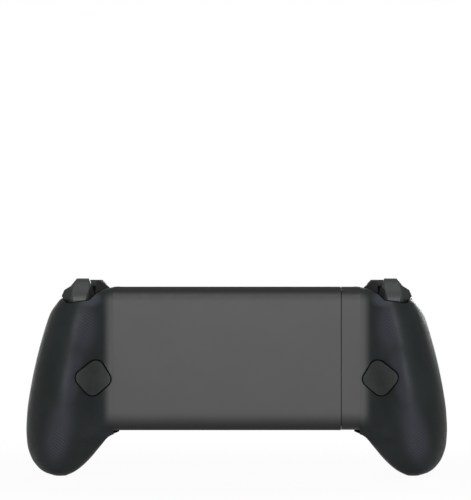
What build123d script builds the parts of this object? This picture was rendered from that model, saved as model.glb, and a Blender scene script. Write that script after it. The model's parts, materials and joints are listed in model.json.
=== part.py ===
from build123d import *
import math
import os

os.makedirs("parts", exist_ok=True)

# Telescopic two-hand game controller, in millimetres, pushed together.
# X runs to the right seen from the front, Z runs up, and the front faces -Y.
# The origin is on the bridge's front, midway between the cheeks, at the grips' bottom.

# Driving dimensions of the whole
half_width = 113.7
height = 106.0
device_gap = 120.6
face_depth = 15.0
grip_depth = 29.0
wall = 2.0
overrun = 6.0

# Fits and clearances
button_gap = 0.35
running_gap = 0.05
slide_gap = 0.3
pin_gap = 0.02

# Bridge: sleeve, front plate, collar and tongue
bridge_bottom = 24.1
bridge_height = 77.2
bridge_depth = 13.0
bridge_top_radius = 5.5
bridge_bottom_radius = 9.0
sleeve_end = 56.1
collar_run = 2.6
front_plate_thickness = 2.0
tongue_reach = 122.0
spring_height_shares = (0.27, 0.73)
spring_radius = 2.3
spring_wire = 0.5
spring_channel_height = 6.4
spring_post_radius = 1.5
ribbon_channel_height = 16.0
channel_depth = 5.6
rest_pad_width = 5.0
rest_pad_length = 54.0
rest_pad_thickness = 0.8
rest_pad_spacing = 96.0

# Cheeks and their ribbed pads
cheek_thickness = 3.4
cheek_plate = 0.8
cheek_top = 99.6
cheek_setback = 0.6
pad_length = 63.6
pad_centre = 64.9
pad_spine = 0.9
pad_rib_pitch = 4.0
pad_rib_width = 2.2
pad_setback = 0.3
pad_fillet = 0.4

# Handle sections, from the grip's bottom up. Levels are shares of the height, the inner and
# outer edges and the crest are shares of the handle's span outwards from its seat, the front
# is a share of the face depth, the rear and the waist are shares of the grip's depth, the flat
# part of the face is given as shares of the section's width, and the flank point as shares of
# the way from the inner rear corner to the crest.
# (level, inner, outer, front, rear, crest, waist, flat_start, flat_end, flank_out, flank_up)
handle_section_shares = [
    (0.000, 0.540, 0.700, -0.33, 0.57, 0.622, 0.38, 0.42, 0.58, 0.18, 0.68),
    (0.013, 0.492, 0.786, 0.04, 0.72, 0.635, 0.36, 0.40, 0.60, 0.18, 0.66),
    (0.038, 0.410, 0.866, 0.40, 0.82, 0.640, 0.34, 0.36, 0.64, 0.18, 0.62),
    (0.085, 0.304, 0.942, 0.74, 0.90, 0.630, 0.32, 0.26, 0.68, 0.20, 0.55),
    (0.151, 0.186, 0.988, 0.97, 0.96, 0.615, 0.28, 0.10, 0.74, 0.24, 0.42),
    (0.195, 0.104, 0.997, 1.02, 0.98, 0.605, 0.30, 0.03, 0.78, 0.28, 0.28),
    (0.228, -0.034, 1.000, 1.02, 0.99, 0.600, 0.448, 0.00, 0.82, 0.33, 0.12),
    (0.321, -0.034, 0.990, 1.02, 1.00, 0.590, 0.448, 0.00, 0.84, 0.33, 0.08),
    (0.434, -0.034, 0.956, 1.02, 0.99, 0.570, 0.448, 0.00, 0.84, 0.33, 0.08),
    (0.566, -0.034, 0.900, 1.02, 0.93, 0.530, 0.448, 0.00, 0.84, 0.33, 0.08),
    (0.708, -0.034, 0.822, 1.02, 0.83, 0.480, 0.448, 0.00, 0.84, 0.33, 0.09),
    (0.830, -0.034, 0.736, 1.02, 0.74, 0.420, 0.448, 0.00, 0.84, 0.30, 0.10),
    (0.970, -0.034, 0.576, 1.02, 0.60, 0.360, 0.448, 0.00, 0.84, 0.30, 0.10),
]
cavity_first_section = 2

# Where the section's outermost point lies between face and rear, and the shoulder's last slope
outer_turn_share = 0.32
shoulder_end_slope = 0.9

# Shoulder line of the shells: shares of the span outwards and of the height
shoulder_line_shares = [
    (0.000, 0.956),
    (0.106, 0.949),
    (0.494, 0.914),
    (0.614, 0.897),
    (0.698, 0.858),
    (0.830, 0.840),
]

# Places on the face: shares of the span outwards and of the height
left_stick_shares = (0.338, 0.706)
right_stick_shares = (0.284, 0.408)
view_button_shares = (0.078, 0.837)
menu_button_shares = (0.092, 0.836)
dpad_shares = (0.270, 0.410)
pill_shares = (0.260, 0.233)
face_button_shares = (0.386, 0.706)
home_button_shares = (0.278, 0.2255)
socket_shares = (0.215, 0.190)
motor_shares = (0.420, 0.185)
boss_place_shares = [(0.136, 0.627), (0.586, 0.604), (0.406, 0.288)]
battery_shares = (0.665, 0.377)

# Stick
stick_top = 8.6
stick_cap_radius = 10.8
stick_rim_radius = 9.9
stick_rim_drop = 0.8
stick_rim_height = 2.4
stick_skirt_edge = 0.6
stick_pad_radius = 7.2
stick_dish = 0.5
stick_dish_edge = 0.9
stick_underside_rise = 0.3
stick_neck_radius = 3.2
stick_stem_radius = 1.5
stick_pivot_depth = 10.0
stick_skirt_radius = 11.5
stick_skirt_wall = 0.9
stick_skirt_angle = 56.0
stem_tail = 4.0
base_half = 7.2
base_corner = 1.5
base_rise = 2.1
base_bore_radius = 6.0
base_cup_wall = 0.9
base_cup_depth = 6.3
base_floor = 1.2
yoke_radius = 5.5
yoke_width = 1.2
yoke_height = 3.0
yoke_pin_radius = 1.0
rocker_radius = 3.5
rocker_height = 4.0
rocker_pin_radius = 0.9
well_radius = 13.1
well_depth = 1.2
collar_flange = 0.8
collar_tube_radius = 11.9
collar_tube_depth = 2.6
collar_throat_radius = 9.9
collar_mouth_radius = 12.3
ring_width = 1.45
ring_height = 1.5
ring_bevel = 0.35

# Face buttons and small round buttons
button_travel = 0.8
button_spacing = 9.5
button_radius = 5.0
button_rise = 1.9
button_dome = 0.7
button_flange = 0.7
button_flange_height = 1.0
button_stem_radius = 1.6
flange_clearance = 0.4
small_button_radius = 3.1
small_button_rise = 1.0
small_button_dome = 0.3
small_flange_half_width = 1.6
small_flange_half_length = 4.2
home_button_radius = 3.4
home_ring_width = 1.8
home_ring_rise = 0.2

# Split pill of two small buttons
pill_length = 13.4
pill_height = 6.1
pill_split = 1.2
pill_travel = 0.5
pill_rise = 0.7
pill_edge = 0.3

# D-pad
dpad_arm_length = 11.4
dpad_arm_width = 7.6
dpad_corner = 2.2
dpad_rise = 2.0
dpad_edge = 0.5
dpad_gap = 0.5
dpad_dish_radius = 60.0
dpad_dish_depth = 0.7
dpad_flange_radius = 10.9
dpad_flange_drop = 3.3
dpad_flange_height = 0.8
dpad_pivot_depth = 2.5
dpad_ball_radius = 1.6
dpad_ball_gap = 0.1
dpad_post_radius = 1.3
dpad_switch_spacing = 8.0
dpad_recess_radius = 12.3
dpad_recess_depth = 0.4

# Circuit board and what sits on it
board_thickness = 1.2
board_setback = 12.0
board_edge_gap = 0.6
board_top = 88.0
switch_side = 5.0
switch_height = 2.0
rear_switch_side = 4.2
rear_switch_height = 3.0
boss_radius = 2.4
screw_radius = 1.0
screw_head_radius = 2.0
screw_head_height = 1.2
screw_length = 7.0
screw_slot = 0.7
battery_width = 14.0
battery_height = 40.0
battery_thickness = 6.0
battery_fillet = 1.0
motor_radius = 5.0
motor_thickness = 3.2
socket_width = 8.9
socket_height = 3.2
socket_length = 7.3
socket_wall = 0.35
socket_tab_width = 6.7
socket_tab_thickness = 0.7
socket_tab_length = 5.0

# Back button: corners as shares of the span outwards and of the height
back_button_corner_shares = [(0.215, 0.602), (0.058, 0.480), (0.280, 0.392), (0.478, 0.506)]
back_button_corner_radius = 4.2
back_button_rise = 0.9
back_button_plate = 1.0
back_button_gap = 0.5
back_button_stem_radius = 2.0
back_button_travel = 0.8

# Bumper: outline seen from the front, as shares of the span outwards and of the height
bumper_outline_shares = [
    (0.118, 0.957),
    (0.185, 0.990),
    (0.318, 0.990),
    (0.515, 0.953),
    (0.594, 0.931),
    (0.612, 0.911),
    (0.494, 0.924),
]
bumper_corner_radius = 1.2
bumper_wall = 1.0
bumper_depth = 10.4
bumper_setback = 0.8
bumper_lug_width = 2.4
bumper_lug_depth = 3.0
bumper_lug_radius = 1.9
bumper_lug_height = 7.5
bumper_pivot_shares = (0.190, 0.906)
bumper_pin_radius = 0.9
bumper_ear_width = 3.6
bumper_ear_thickness = 1.6
bumper_plunger_share = 0.556
bumper_plunger_width = 1.8
bumper_plunger_length = 9.5
bumper_slot_gap = 0.8
bumper_switch_side = 4.0

# Trigger: outlines seen from the rear, from the side and from above
trigger_rear_shares = [
    (0.320, 0.998),
    (0.448, 0.998),
    (0.510, 0.960),
    (0.582, 0.940),
    (0.614, 0.907),
    (0.546, 0.876),
    (0.314, 0.891),
    (0.250, 0.918),
]
trigger_side_shares = [(0.23, 1.000), (0.66, 0.972), (0.95, 0.918), (1.00, 0.868)]
trigger_top_shares = [(0.614, 0.41), (0.478, 1.00), (0.346, 1.00), (0.250, 0.60)]
trigger_front_share = 0.945
trigger_crown_share = 0.985
trigger_front = 1.4
trigger_rear = 17.2
trigger_wall = 1.5
trigger_gap = 0.4
trigger_relief_depth = 9.8
trigger_relief_drops = [0.9, 1.8, 2.7]
trigger_pin_radius = 1.0
trigger_pin_depth = 1.6
trigger_pin_level_share = 0.902
trigger_tube_radius = 2.4
trigger_tube_length = 6.2
trigger_web = 1.4
trigger_web_height = 8.6
trigger_window = 5.0
trigger_ear_radius = 2.6
trigger_ear_thickness = 1.6
trigger_ear_reach = 3.4
trigger_middle_share = 0.420

# Places worked out from the sizes above
seat_x = device_gap / 2 + cheek_thickness
handle_span = half_width - seat_x
bridge_top = bridge_bottom + bridge_height
bridge_end = seat_x + collar_run
face_y = -face_depth
inner_face_y = face_y + wall
board_front = face_y + board_setback
board_rear = board_front + board_thickness
board_start = seat_x + wall + board_edge_gap
pivot_y = face_y + stick_pivot_depth
switch_top = board_front - switch_height
flange_front = inner_face_y + flange_clearance
flange_rear = flange_front + button_flange_height
small_button_depth = flange_rear + button_travel + slide_gap - face_y
dpad_pivot_y = face_y + dpad_pivot_depth
dpad_underside = face_y + dpad_flange_drop + dpad_flange_height
bumper_back = face_y + bumper_setback + bumper_depth
bumper_middle = bumper_back - bumper_depth / 2
lug_half = bumper_lug_depth / 2
ear_stack = lug_half + slide_gap + bumper_ear_thickness


def across(share):
    """Distance outwards from the middle, from a share of the handle's span."""
    return seat_x + share * handle_span


def level(share):
    """Height above the grips' bottom, from a share of the height."""
    return share * height


def place(shares):
    return (across(shares[0]), level(shares[1]))


def facing(y):
    """Plane at depth y that looks out of the front: local x is X, local y is Z."""
    return Plane.XZ.offset(-y)


def along(x):
    """Plane across the part at x: local x is Y, local y is Z."""
    return Plane.YZ.offset(x)


def turning(x, z):
    """Plane whose local x is a radius and whose local y is depth, for pieces turned about Y."""
    return Plane(origin=(x, 0, z), x_dir=(1, 0, 0), z_dir=(0, 0, 1))


def depth_axis(x, z):
    return Axis((x, 0, z), (0, 1, 0))


def keep(piece, name, side="right"):
    """Labels and writes one piece. Pieces of the left half are mirrored copies."""
    if side == "left":
        with BuildPart() as flipped:
            mirror(piece, about=Plane.YZ)
        piece = flipped.part
    piece.label = name
    export_step(piece, f"parts/{name}.step")


pin_place = (trigger_pin_depth, level(trigger_pin_level_share))


# Handle body, which the shells are cut from


def section_sketch(row, inset):
    """One level of the handle, drawn in from the outside by the inset."""
    inner, outer, front, rear, crest, waist, flat_start, flat_end, flank_out, flank_up = row[1:]
    left, right = across(inner) + inset, across(outer) - inset
    near, far = -front * face_depth + inset, rear * grip_depth - inset
    bridged = level(row[0]) >= bridge_bottom
    waist_y = waist * grip_depth - (inset if bridged else 0)
    face_start = (left + flat_start * (right - left), near)
    face_end = (left + flat_end * (right - left), near)
    outer_point = (right, near + outer_turn_share * (far - near))
    crest_point = (across(crest), far)
    corner = (left, waist_y)
    flank = (
        left + flank_out * (crest_point[0] - left),
        waist_y + flank_up * (far - waist_y),
    )
    arrive = (-1, 0) if bridged else (0, -1)
    leave = (0, -1) if bridged else (1, 0)
    with BuildSketch(Plane.XY.offset(level(row[0]))) as sketch:
        with BuildLine():
            Line(face_start, face_end)
            Spline(face_end, outer_point, tangents=[(1, 0), (0, 1)])
            Spline(outer_point, crest_point, tangents=[(0, 1), (-1, 0)])
            Spline(crest_point, flank, corner, tangents=[(-1, 0), arrive])
            Spline(corner, face_start, tangents=[(0, -1), leave])
        make_face()
    return sketch


def shoulder_direction():
    start, end = (place(point) for point in shoulder_line_shares[1:3])
    return (end[0] - start[0], end[1] - start[1])


def shoulder_cut(drop):
    """Everything above the shoulder line, lowered by the drop: local x is X, local y is Z."""
    points = [(across(x), level(z) - drop) for x, z in shoulder_line_shares]
    with BuildSketch() as region:
        with BuildLine():
            Polyline(points[0], points[1], points[2])
            Spline(points[2:], tangents=[shoulder_direction(), (1, -shoulder_end_slope)])
            Polyline(
                points[-1],
                (points[-1][0], height + overrun),
                (seat_x - overrun, height + overrun),
                (seat_x - overrun, points[0][1]),
                points[0],
            )
        make_face()
    return region.sketch


def handle_loft(inset, first_section=0):
    """The handle's smooth form before the bridge, face and shoulder are cut off it."""
    with BuildPart() as body:
        for row in handle_section_shares[first_section:]:
            add(section_sketch(row, inset).sketch)
        loft()
    return body.part


def handle_body(inset, first_section=0):
    """The handle's outer form, or with an inset and fewer sections its cavity."""
    reach = half_width + overrun
    with BuildPart() as body:
        add(handle_loft(inset, first_section))
        with BuildSketch(Plane.XZ):
            add(shoulder_cut(inset))
        extrude(amount=reach, both=True, mode=Mode.SUBTRACT)
        with BuildSketch(Plane.XY):
            with Locations((seat_x + inset, 0)):
                Rectangle(reach, reach, align=(Align.MAX, Align.MAX))
            with Locations((bridge_end + inset, 0)):
                Rectangle(reach, reach, align=(Align.MAX, Align.MIN))
            with Locations((seat_x, face_y + inset)):
                Rectangle(reach, reach, align=(Align.CENTER, Align.MAX))
        extrude(amount=reach, mode=Mode.SUBTRACT)
    return body.part


outer_body = handle_body(0)
cavity = handle_body(wall, cavity_first_section)


# Outlines that a piece and its opening share, in the local coordinates of a facing plane


def polygon_outline(shares, grow=0, radius=0):
    with BuildSketch() as region:
        with BuildLine():
            Polyline([place(point) for point in shares], close=True)
        make_face()
        if radius:
            fillet(region.vertices(), radius=radius)
        if grow:
            offset(amount=grow)
    return region.sketch


def trigger_outline(grow=0):
    """The trigger seen from the rear."""
    return polygon_outline(trigger_rear_shares, grow)


def back_button_outline(grow=0):
    return polygon_outline(back_button_corner_shares, grow, back_button_corner_radius)


def pill_outline(grow=0):
    with BuildSketch() as region:
        with Locations(place(pill_shares)):
            SlotOverall(pill_length + 2 * grow, pill_height + 2 * grow)
    return region.sketch


def cross_outline(grow=0):
    length, width = dpad_arm_length + grow, dpad_arm_width / 2 + grow
    with BuildSketch() as region:
        with Locations(place(dpad_shares)):
            RectangleRounded(2 * length, 2 * width, dpad_corner)
            RectangleRounded(2 * width, 2 * length, dpad_corner)
    return region.sketch


def disc(places, radius, y):
    """Discs at places of the face, on the facing plane at depth y."""
    with BuildSketch(facing(y)) as region:
        with Locations(*places):
            Circle(radius)
    return region.sketch


def sink(shares, radius, depth):
    """Sinks a round hole or recess in the face of the piece that is being built."""
    mouth = disc([place(shares)], radius, face_y + depth)
    extrude(mouth, amount=depth + overrun, mode=Mode.SUBTRACT)


def face_button_places():
    x, z = place(face_button_shares)
    step = button_spacing
    return [(x, z - step), (x + step, z), (x - step, z), (x, z + step)]


def post_places():
    return [place(shares) for shares in boss_place_shares]


# Shells


def bumper_ears():
    """Two ears under the shoulder that carry the bumper's pin, and a slot for its lug."""
    x, z = place(bumper_pivot_shares)
    low = z - bumper_ear_width / 2
    slot_low = z - bumper_ear_width
    with BuildSketch(facing(bumper_middle + ear_stack)) as ears:
        with Locations((x, low)):
            align = (Align.CENTER, Align.MIN)
            Rectangle(bumper_ear_width, bumper_ear_width + wall / 2, align=align)
    extrude(ears.sketch, amount=2 * ear_stack)
    with BuildSketch(Plane.XY.offset(slot_low)) as slot:
        with Locations((x, bumper_middle)):
            Rectangle(bumper_ear_width + bumper_slot_gap, bumper_lug_depth + 2 * slide_gap)
    extrude(slot.sketch, amount=height, mode=Mode.SUBTRACT)
    bore = disc([(x, z)], bumper_pin_radius + pin_gap, bumper_middle + ear_stack)
    extrude(bore, amount=2 * ear_stack, mode=Mode.SUBTRACT)


def plunger_hole():
    """Opens the shoulder for the bumper's plunger."""
    width = bumper_plunger_width + 2 * bumper_slot_gap
    with BuildSketch(Plane.XY.offset(board_top)) as hole:
        with Locations((across(bumper_plunger_share), bumper_middle)):
            Rectangle(width, bumper_lug_depth + 2 * slide_gap)
    extrude(hole.sketch, amount=height, mode=Mode.SUBTRACT)


def trigger_ear_starts():
    """Where each of the trigger's two ears begins, measured across."""
    middle = across(trigger_middle_share)
    half = trigger_tube_length / 2 + slide_gap
    return (middle - half - trigger_ear_thickness, middle + half)


def trigger_ears():
    """Two ears that reach back from under the shoulder and carry the trigger's pin."""
    reach = trigger_ear_reach + trigger_pin_depth
    for start in trigger_ear_starts():
        with BuildSketch(along(start)) as ear:
            with Locations(pin_place):
                Circle(trigger_ear_radius)
                Rectangle(reach, 2 * trigger_ear_radius, align=(Align.MAX, Align.CENTER))
                Circle(trigger_pin_radius + pin_gap, mode=Mode.SUBTRACT)
        extrude(ear.sketch, amount=trigger_ear_thickness)


def socket_hole():
    """Opens the shells for the charging socket."""
    x, z = place(socket_shares)
    with BuildSketch(Plane.XY) as hole:
        with Locations((x, board_rear + socket_height / 2)):
            SlotOverall(socket_width + 2 * running_gap, socket_height + 2 * running_gap)
    extrude(hole.sketch, amount=z + socket_length, mode=Mode.SUBTRACT)


def front_shell(side):
    with BuildPart() as shell:
        add(outer_body)
        add(cavity, mode=Mode.SUBTRACT)
        split(bisect_by=Plane.XZ, keep=Keep.TOP)
        bumper_ears()
        plunger_hole()
        with BuildSketch(Plane.XZ):
            add(trigger_outline(trigger_gap))
        extrude(amount=trigger_front + 2 * trigger_gap, mode=Mode.SUBTRACT)
        trigger_ears()
        if side == "right":
            socket_hole()
            stick, small = right_stick_shares, menu_button_shares
            holes = disc(face_button_places(), button_radius + button_gap, inner_face_y)
            extrude(holes, amount=wall, mode=Mode.SUBTRACT)
            sink(home_button_shares, home_button_radius + home_ring_width, wall)
        else:
            stick, small = left_stick_shares, view_button_shares
            sink(dpad_shares, dpad_recess_radius, dpad_recess_depth)
            with BuildSketch(facing(dpad_underside + dpad_gap)):
                add(cross_outline(dpad_gap))
                add(pill_outline(slide_gap))
            extrude(amount=face_depth, mode=Mode.SUBTRACT)
        sink(small, small_button_radius + button_gap, small_button_depth)
        sink(stick, well_radius, well_depth)
        sink(stick, collar_tube_radius, wall)
    return shell.part


def rear_shell(side):
    with BuildPart() as shell:
        add(outer_body)
        add(cavity, mode=Mode.SUBTRACT)
        split(bisect_by=Plane.XZ, keep=Keep.BOTTOM)
        with BuildSketch(Plane.XZ):
            add(trigger_outline(trigger_gap))
            add(back_button_outline(back_button_gap))
        extrude(amount=-grip_depth, mode=Mode.SUBTRACT)
        with BuildSketch(Plane.XZ):
            for drop in trigger_relief_drops:
                add(trigger_outline(trigger_gap).moved(Location((0, -drop, 0))))
        extrude(amount=-trigger_relief_depth, mode=Mode.SUBTRACT)
        if side == "right":
            socket_hole()
        add(rear_bosses)
    return shell.part


# Posts that stand on the rear shell's inside and carry the board
with BuildPart() as boss_group:
    extrude(disc(post_places(), boss_radius, grip_depth), amount=grip_depth - board_rear)
    add(handle_loft(wall / 2), mode=Mode.INTERSECT)
    pilot_end = board_rear + screw_length
    pilots = disc(post_places(), screw_radius + pin_gap, pilot_end)
    extrude(pilots, amount=screw_length, mode=Mode.SUBTRACT)
rear_bosses = boss_group.part

for side in ("right", "left"):
    keep(front_shell(side), f"{side}_front_shell", side)
    keep(rear_shell(side), f"{side}_rear_shell", side)


# Cheeks and pads


def cheek():
    pad_bottom = pad_centre - pad_length / 2 - running_gap
    pad_top = pad_centre + pad_length / 2 + running_gap
    corner = (Align.MAX, Align.MIN)
    with BuildPart() as plate:
        with BuildSketch(facing(0)):
            with Locations((seat_x, bridge_bottom)):
                Rectangle(cheek_thickness, cheek_top - bridge_bottom, align=corner)
            with Locations((seat_x - cheek_plate, pad_bottom)):
                Rectangle(
                    cheek_thickness,
                    pad_top - pad_bottom,
                    align=corner,
                    mode=Mode.SUBTRACT,
                )
        extrude(amount=face_depth - cheek_setback)
    return plate.part


def cheek_pad():
    count = int(pad_length // pad_rib_pitch)
    reach = cheek_thickness - cheek_plate
    with BuildPart() as pad:
        with BuildSketch(facing(-pad_setback)):
            with Locations((seat_x - cheek_plate, pad_centre)):
                Rectangle(pad_spine, pad_length, align=(Align.MAX, Align.CENTER))
                with GridLocations(0, pad_rib_pitch, 1, count):
                    Rectangle(reach, pad_rib_width, align=(Align.MAX, Align.CENTER))
        extrude(amount=face_depth - 2 * pad_setback)
        fillet(pad.edges().filter_by(Axis.Z).group_by(Axis.X)[0], radius=pad_fillet)
    return pad.part


for side in ("right", "left"):
    keep(cheek(), f"{side}_cheek", side)
    keep(cheek_pad(), f"{side}_cheek_pad", side)


# Bridge


def bridge_profile(inset, front):
    """The bridge's section in the local coordinates of a plane along X, drawn in by the inset."""
    low, high = bridge_bottom + inset, bridge_top - inset
    far = bridge_depth - inset
    with BuildSketch() as region:
        with Locations((front, low)):
            Rectangle(far - front, high - low, align=(Align.MIN, Align.MIN))
        rear = region.vertices().group_by(Axis.X)[-1].sort_by(Axis.Y)
        fillet(rear[0], radius=bridge_bottom_radius - inset)
        rear = region.vertices().group_by(Axis.X)[-1].sort_by(Axis.Y)
        fillet(rear[-1], radius=bridge_top_radius - inset)
    return region.sketch


bridge_middle = bridge_bottom + bridge_height / 2
spring_levels = [bridge_bottom + share * bridge_height for share in spring_height_shares]
spring_middle = (front_plate_thickness + bridge_depth - wall) / 2
anchor_x = bridge_end - wall - 2 * spring_post_radius
spring_places = [(spring_middle, z) for z in spring_levels]

with BuildPart() as sleeve:
    with BuildSketch(along(-sleeve_end)):
        add(bridge_profile(0, 0))
        with Locations((0, bridge_middle)):
            Rectangle(
                2 * front_plate_thickness,
                bridge_height - 2 * wall,
                mode=Mode.SUBTRACT,
            )
    extrude(amount=sleeve_end + bridge_end)
    with BuildSketch(along(-sleeve_end)):
        add(bridge_profile(wall, front_plate_thickness))
    extrude(amount=sleeve_end + bridge_end - wall, mode=Mode.SUBTRACT)
    with BuildSketch(facing(bridge_depth - wall)):
        with Locations(*[(anchor_x, z) for z in spring_levels]):
            Circle(spring_post_radius)
    extrude(amount=bridge_depth - wall - front_plate_thickness)
keep(sleeve.part, "bridge_sleeve")

with BuildPart() as front_plate:
    with BuildSketch(facing(front_plate_thickness)):
        with Locations((-sleeve_end, bridge_middle)):
            Rectangle(
                sleeve_end + bridge_end,
                bridge_height - 2 * wall,
                align=(Align.MIN, Align.CENTER),
            )
    extrude(amount=front_plate_thickness)
keep(front_plate.part, "bridge_front_plate")

with BuildPart() as rest_pads:
    with BuildSketch(facing(0)):
        with Locations((0, bridge_middle)):
            with GridLocations(rest_pad_spacing, 0, 2, 1):
                SlotOverall(rest_pad_length, rest_pad_width, rotation=90)
    extrude(amount=rest_pad_thickness)
keep(rest_pads.part, "rest_pads")

tongue_inset = wall + slide_gap
tongue_front = front_plate_thickness + slide_gap
channel_start = wall - bridge_end
with BuildPart() as tongue:
    with BuildSketch(along(-bridge_end)):
        add(bridge_profile(tongue_inset, tongue_front))
    extrude(amount=tongue_reach)
    with BuildSketch(along(channel_start)):
        with Locations(*spring_places):
            Rectangle(channel_depth, spring_channel_height)
        with Locations((spring_middle, bridge_middle)):
            Rectangle(channel_depth, ribbon_channel_height)
    extrude(amount=tongue_reach, mode=Mode.SUBTRACT)
keep(tongue.part, "slide_tongue")

with BuildPart() as tongue_collar:
    with BuildSketch(along(-bridge_end)):
        add(bridge_profile(0, 0))
        add(bridge_profile(tongue_inset, tongue_front), mode=Mode.SUBTRACT)
    extrude(amount=bridge_end - sleeve_end - slide_gap)
keep(tongue_collar.part, "tongue_collar")

with BuildPart() as return_springs:
    with BuildSketch(along(channel_start)):
        with Locations(*spring_places):
            Circle(spring_radius)
            Circle(spring_radius - spring_wire, mode=Mode.SUBTRACT)
    extrude(amount=anchor_x - spring_post_radius - channel_start)
keep(return_springs.part, "return_springs")


# Sticks, in each handle


def stick_collar(shares):
    """Dark bowl round the stick, seated in the face's recess."""
    x, z = place(shares)
    seat_y = face_y + well_depth
    lip_y = seat_y - collar_flange
    foot_y = face_y + collar_tube_depth
    with BuildPart() as bowl:
        with BuildSketch(turning(x, z)):
            with BuildLine():
                Polyline(
                    (collar_mouth_radius, lip_y),
                    (well_radius, lip_y),
                    (well_radius, seat_y),
                    (collar_tube_radius, seat_y),
                    (collar_tube_radius, foot_y),
                    (collar_throat_radius, foot_y),
                    close=True,
                )
            make_face()
        revolve(axis=depth_axis(x, z))
    return bowl.part


def stick_base(shares):
    """Square base on the board with a round cup that drops through it."""
    x, z = place(shares)
    cup_bottom = board_front + base_cup_depth
    with BuildPart() as base:
        with BuildSketch(facing(board_front)):
            with Locations((x, z)):
                RectangleRounded(2 * base_half, 2 * base_half, base_corner)
        extrude(amount=board_front - pivot_y + base_rise)
        with BuildSketch(facing(cup_bottom)):
            with Locations((x, z)):
                Circle(base_bore_radius + base_cup_wall)
        extrude(amount=base_cup_depth)
        with BuildSketch(facing(cup_bottom - base_floor)):
            with Locations((x, z)):
                Circle(base_bore_radius)
        extrude(amount=face_depth, mode=Mode.SUBTRACT)
        with BuildSketch(along(x - base_half)):
            with Locations((pivot_y, z)):
                Circle(yoke_pin_radius + running_gap)
        extrude(amount=2 * base_half, mode=Mode.SUBTRACT)
    return base.part


def stick_yoke(shares):
    x, z = place(shares)
    with BuildPart() as yoke:
        with BuildSketch(facing(pivot_y + yoke_height / 2)):
            with Locations((x, z)):
                Circle(yoke_radius)
        extrude(amount=yoke_height)
        with BuildSketch(along(x - base_half)):
            with Locations((pivot_y, z)):
                Circle(yoke_pin_radius)
        extrude(amount=2 * base_half)
        with BuildSketch(facing(pivot_y + yoke_height / 2)):
            with Locations((x, z)):
                Circle(yoke_radius - yoke_width)
        extrude(amount=yoke_height, mode=Mode.SUBTRACT)
        with BuildSketch(Plane.XY.offset(z - yoke_radius)):
            with Locations((x, pivot_y)):
                Circle(rocker_pin_radius + running_gap)
        extrude(amount=2 * yoke_radius, mode=Mode.SUBTRACT)
    return yoke.part


def stick_rocker(shares):
    x, z = place(shares)
    pin_reach = yoke_radius - running_gap
    with BuildPart() as rocker:
        with BuildSketch(facing(pivot_y + rocker_height / 2)):
            with Locations((x, z)):
                Circle(rocker_radius)
        extrude(amount=rocker_height)
        with BuildSketch(Plane.XY.offset(z - pin_reach)):
            with Locations((x, pivot_y)):
                Circle(rocker_pin_radius)
        extrude(amount=2 * pin_reach)
        with BuildSketch(facing(pivot_y + rocker_height / 2)):
            with Locations((x, z)):
                Circle(stick_stem_radius + running_gap)
        extrude(amount=rocker_height, mode=Mode.SUBTRACT)
    return rocker.part


def on_skirt(radius, turn):
    """Point of the stick's skirt, a ball round the pivot, at an angle from straight out."""
    return (radius * math.sin(turn), pivot_y - radius * math.cos(turn))


def stick_rim(ring_seat):
    """The cap's rim, from its inner pad outwards and down to its lower edge."""
    top = face_y - stick_top
    if ring_seat:
        step = stick_cap_radius - ring_width
        return [(stick_pad_radius, top), (step, top), (step, top + ring_height),
                (stick_cap_radius, top + ring_height)]
    return [(stick_pad_radius, top), (stick_rim_radius, top),
            (stick_cap_radius, top + stick_rim_drop)]


def stick_cap(shares, ring_seat):
    """Cap, neck, skirt and stem as one turned piece. The left cap has a step for its ring."""
    x, z = place(shares)
    top = face_y - stick_top
    low = top + stick_rim_drop + stick_rim_height
    rise = low + stick_underside_rise
    skirt = stick_skirt_radius
    inner = skirt - stick_skirt_wall
    angle = math.radians(stick_skirt_angle)
    neck_turn = math.asin(stick_neck_radius / skirt)
    stem_turn = math.asin(stick_stem_radius / inner)
    outside = stick_rim(ring_seat) + [
        (stick_cap_radius, low),
        (stick_cap_radius - stick_skirt_edge, rise),
        (stick_neck_radius, rise),
        on_skirt(skirt, neck_turn),
    ]
    core = [
        on_skirt(inner, stem_turn),
        (stick_stem_radius, pivot_y + stem_tail),
        (0, pivot_y + stem_tail),
        (0, top + stick_dish),
        (stick_pad_radius - stick_dish_edge, top + stick_dish),
        (stick_pad_radius, top),
    ]
    with BuildPart() as cap:
        with BuildSketch(turning(x, z)):
            with BuildLine():
                Polyline(outside)
                ThreePointArc(outside[-1], on_skirt(skirt, angle / 2), on_skirt(skirt, angle))
                Line(on_skirt(skirt, angle), on_skirt(inner, angle))
                ThreePointArc(on_skirt(inner, angle), on_skirt(inner, angle / 2), core[0])
                Polyline(core)
            make_face()
        revolve(axis=depth_axis(x, z))
    return cap.part


def stick_ring(shares):
    x, z = place(shares)
    top = face_y - stick_top
    inner = stick_cap_radius - ring_width
    with BuildPart() as ring:
        with BuildSketch(turning(x, z)):
            with BuildLine():
                Polyline(
                    (inner, top + ring_height),
                    (inner, top),
                    (stick_cap_radius - ring_bevel, top),
                    (stick_cap_radius, top + ring_bevel),
                    (stick_cap_radius, top + ring_height),
                    close=True,
                )
            make_face()
        revolve(axis=depth_axis(x, z))
    return ring.part


stick_places = {"right": right_stick_shares, "left": left_stick_shares}
for side, shares in stick_places.items():
    keep(stick_collar(shares), f"{side}_stick_collar", side)
    keep(stick_base(shares), f"{side}_stick_base", side)
    keep(stick_yoke(shares), f"{side}_stick_yoke", side)
    keep(stick_rocker(shares), f"{side}_stick_rocker", side)
    keep(stick_cap(shares, side == "left"), f"{side}_stick_cap", side)
keep(stick_ring(left_stick_shares), "left_stick_ring", "left")


# Buttons on the face

def stem_end(travel):
    """Depth at which a button's stem stops, clear of its switch when pressed."""
    return switch_top - travel - slide_gap


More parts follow.
